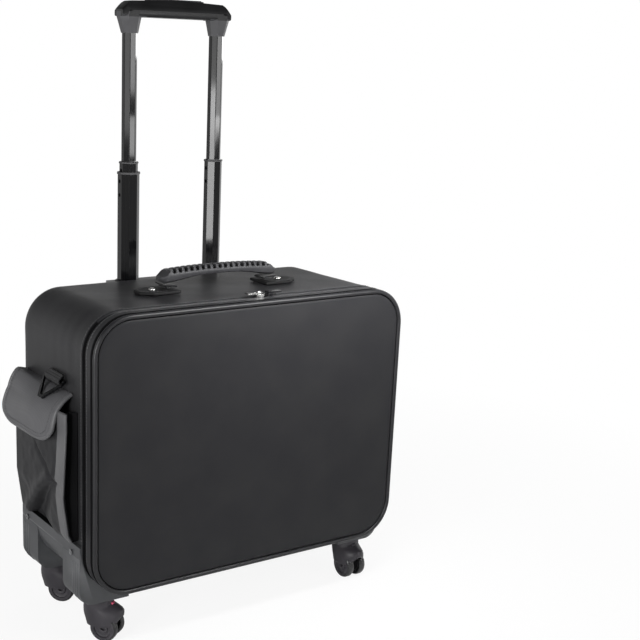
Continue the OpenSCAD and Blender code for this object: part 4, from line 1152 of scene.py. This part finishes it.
def ring_loop():
    """Webbing loops above the flaps, sewn to the side walls, with their rings."""
    lo, hi = limits("ring_loops")
    y, width = (lo[1] + hi[1]) / 2, hi[1] - lo[1]
    x, _, z = np.array(JOINTS["ring_lift_right"]["pos_m"]) / MM
    path = [(SIDE + 0.9, hi[2] - 0.5), (SIDE + 0.9, z + 4)]
    path += [(x + 3.7 * math.cos(a), z + 3.7 * math.sin(a)) for a in np.radians(np.linspace(170, 380, 14))]
    path += [(SIDE + 4.0, z + 5), (SIDE + 2.8, hi[2] - 0.5)]
    loops = shape("ring_webbing", two_straps(path, width - 0.6, 1.3, y), [WEBBING])
    keep(loops, "case", "webbing", "ring_loops")
    seams = []
    for side in (-1, 1):
        row = [(side * (SIDE + 3.4), y + w, hi[2] - 2) for w in (-16, 16)]
        seams.append((np.array(row), (side, 0, 0), False))
    sewn("loop_stitches", "case", "webbing", seams, 3.6)
    for name in ("left", "right"):
        fitted("strap_ring_wire_" + name, "ring_" + name, BLACK_NICKEL, 0.8, "strap_ring_" + name, "steel")


for name, side, seed in (("left", -1, 2.3), ("right", 1, 8.1)):
    pocket(name, side, seed)
    flap(name, side, seed)
ring_loop()


# Inside: bins and tray in lined board, and the pockets of the lid
def inside():
    bins = ("bin_left", "bin_centre", "bin_right_low", "bin_right_high")
    edges = []
    for node in bins + ("divider_tray", "dividers"):
        fitted(node + "_board", node, LINING, 1.2, "case", "lining")
    for node in bins:
        lo, hi = limits(node)
        edges.append(rectangle(lo, hi, lo[1], (0, -1, 0), 2))
    corded("bin_binding", "case", "lining", edges, 2.2, PIPING)


def lid_inside():
    lo, hi = limits("lid_pockets")
    back = lo[1] + 2.0
    # Left and right end of the brush pockets, their foot, their height, and the spacing of the loops above
    x0, x1, z0, tall, loop = -51.2, 208.0, lo[2] + 4, 69.5, 18.5
    loop_feet, loop_tall = (lo[2] + 87.5, lo[2] + 108.5), 14

    def brush_pocket(a, b):
        """One elastic pocket from a to b, fuller towards its mouth, with a pleat on each side."""
        def depth(x, z):
            u, k = (x - a) / (b - a), (z - z0) / tall
            pleat = 1.1 * max(0, 1 - abs(min(u, 1 - u) - 0.2) / 0.07)
            puff = 4.2 * math.sin(math.pi * u) ** 0.5 * (0.35 + 0.65 * k ** 0.6)
            return back + 0.5 + max(puff - pleat, 0.2)

        return thick(upright(np.linspace(a, b, 25), np.linspace(z0, z0 + tall, 26), depth), -0.8)

    def loops(x, z):
        """Depth of a band of elastic, sewn down between its loops."""
        arch = abs(math.sin(math.pi * (x - x0) / loop)) ** 0.7
        return back + 0.4 + 3.0 * arch + 0.25 * math.sin(x * 2.2)

    panel = upright(
        np.linspace(lo[0], hi[0], 60), np.linspace(lo[2], hi[2], 40),
        lambda x, z: back + 0.25 * wave((x, 0, z), 40),
    )
    seams = np.linspace(x0, x1, 6)
    parts = [thick(panel, -1.8)]
    parts += [brush_pocket(a + 1, b - 1) for a, b in zip(seams, seams[1:])]
    for foot in loop_feet:
        band = upright(np.linspace(x0, x1, 281), np.linspace(foot, foot + loop_tall, 8), loops)
        parts.append(thick(band, -0.7, 1))
    sheet = shape("lid_pocket_panel", gather(*parts), [LINING, ELASTIC], angle=60)
    keep(sheet, "lid", "lining", "lid_pockets")

    lo, hi = limits("mesh_pocket")

    def net_depth(x, z):
        """Depth of the net, slack in its middle, with fine ribs across."""
        k = (z - lo[2]) / (hi[2] - lo[2])
        across = math.sin(math.pi * (x - lo[0]) / (hi[0] - lo[0])) ** 0.6
        rib = 0.35 * abs(math.sin(math.pi * k * 9))
        return lo[1] + 0.6 + 1.7 * across * math.sin(math.pi * k) ** 0.5 + rib

    grid = upright(np.linspace(lo[0], hi[0], 40), np.linspace(lo[2], hi[2], 60), net_depth)
    net = shape("lid_mesh_net", thick(grid, -0.4), [NET], angle=60)
    keep(net, "lid", "mesh", "mesh_pocket")
    frames = [rectangle(lo, hi, lo[1] + 0.8, (0, 1, 0))]

    lo, hi = limits("clear_flap")
    grid = upright(
        np.linspace(lo[0], hi[0], 40), np.linspace(lo[2], hi[2], 24),
        lambda x, z: lo[1] + 1.0 + 0.35 * wave((x, 0, z), 50),
    )
    film = shape("lid_clear_film", thick(grid, -0.5), [FILM], angle=60)
    keep(film, "lid", "clear_film", "clear_flap")
    frames.append(rectangle(lo, hi, lo[1] + 1, (0, 1, 0)))
    corded("lid_pocket_binding", "lid", "lining", frames, 1.3, PIPING)


inside()
lid_inside()
# The linkage inside the trolley's grip keeps its CAD shape
for holder in frame["nodes"]["release_linkage"].material_slots:
    holder.material = STEEL


# Floor, surroundings and soft studio light
def ray_kinds(tree):
    """The light path's outputs, and 1 for rays that come straight from the camera or through clear film."""
    path = add(tree, "ShaderNodeLightPath").outputs
    return path, calc(tree, "MAXIMUM", path["Is Camera Ray"], path["Is Transmission Ray"])


def studio():
    ground = bpy.data.meshes.new("studio_floor")
    ground.from_pydata([(-30, -30, 0), (30, -30, 0), (30, 30, 0), (-30, 30, 0)], [], [(0, 1, 2, 3)])
    floor = put("studio_floor", ground)
    mat = bpy.data.materials.new("white_paper")
    mat.use_nodes = True
    tree = mat.node_tree
    tree.nodes.clear()
    path, straight = ray_kinds(tree)
    where = add(tree, "ShaderNodeTexCoord").outputs["Object"]
    away = add(tree, "ShaderNodeVectorMath", {0: where}, operation="LENGTH").outputs["Value"]
    direct = ranged(tree, away, 0.35, 1.2, 0.9, 1.0)
    mirror = ranged(tree, away, 0.7, 1.7)
    share = add(tree, "ShaderNodeMix", {0: straight, 2: mirror, 3: direct}).outputs[0]
    share = calc(tree, "MULTIPLY", share, calc(tree, "MAXIMUM", straight, path["Is Glossy Ray"]))
    matt = add(tree, "ShaderNodeBsdfDiffuse", {"Color": paint("#f4f4f4")})
    white = add(tree, "ShaderNodeEmission", {"Color": (1, 1, 1, 1), "Strength": 1.0})
    both = add(tree, "ShaderNodeMixShader", {0: share, 1: matt.outputs[0], 2: white.outputs[0]})
    add(tree, "ShaderNodeOutputMaterial", {"Surface": both.outputs[0]})
    ground.materials.append(mat)

    world = bpy.data.worlds.new("studio")
    scene.world = world
    world.use_nodes = True
    tree = world.node_tree
    path, straight = ray_kinds(tree)
    way = add(tree, "ShaderNodeTexCoord").outputs["Generated"]
    height = add(tree, "ShaderNodeSeparateXYZ", {0: way}).outputs["Z"]
    dome = ranged(tree, height, 0.12, 0.45, 1.0, 0.1)
    mirrored = add(tree, "ShaderNodeMix", {0: path["Is Glossy Ray"], 2: 0.24, 3: dome}).outputs[0]
    level = add(tree, "ShaderNodeMix", {0: straight, 2: mirrored, 3: 1.0}).outputs[0]
    sky = tree.nodes["Background"]
    sky.inputs["Color"].default_value = (1, 1, 1, 1)
    tree.links.new(level, sky.inputs["Strength"])

    # Each lamp's place, aim, width, height and power
    lamps = (
        ("key", (-1.9, -0.9, 0.9), (0, -0.02, 0.3), 0.9, 0.9, 18),
        ("front_top", (0.12, -0.3, 0.58), (0.12, -0.12, 0.4), 0.4, 0.1, 2.6),
        ("rim", (1.95, 1.05, 0.95), (0, 0, 0.42), 0.7, 0.5, 7),
        ("tube_strip", (-1.194, -0.696, 0.43), (0.066, 0.103, 0.5), 0.15, 0.42, 6.0),
        ("tube_glint", (0.64, -1.21, 0.72), (-0.066, 0.103, 0.7), 0.14, 0.2, 1.6),
        ("tube_glint_right", (0.89, -1.21, 0.68), (0.066, 0.103, 0.68), 0.12, 0.3, 2.0),
        ("top", (0.3, 0.2, 2.4), (0, 0, 0.3), 1.4, 1.4, 5),
    )
    for name, place, aim, wide, high, power in lamps:
        lamp = bpy.data.lights.new(name, "AREA")
        lamp.shape = "RECTANGLE"
        lamp.size = wide
        lamp.size_y = high
        lamp.energy = power
        obj = put(name, lamp)
        obj.location = place
        obj.visible_camera = False
        obj.rotation_mode = "QUATERNION"
        obj.rotation_quaternion = (Vector(place) - Vector(aim)).to_track_quat("Z", "Y")


studio()
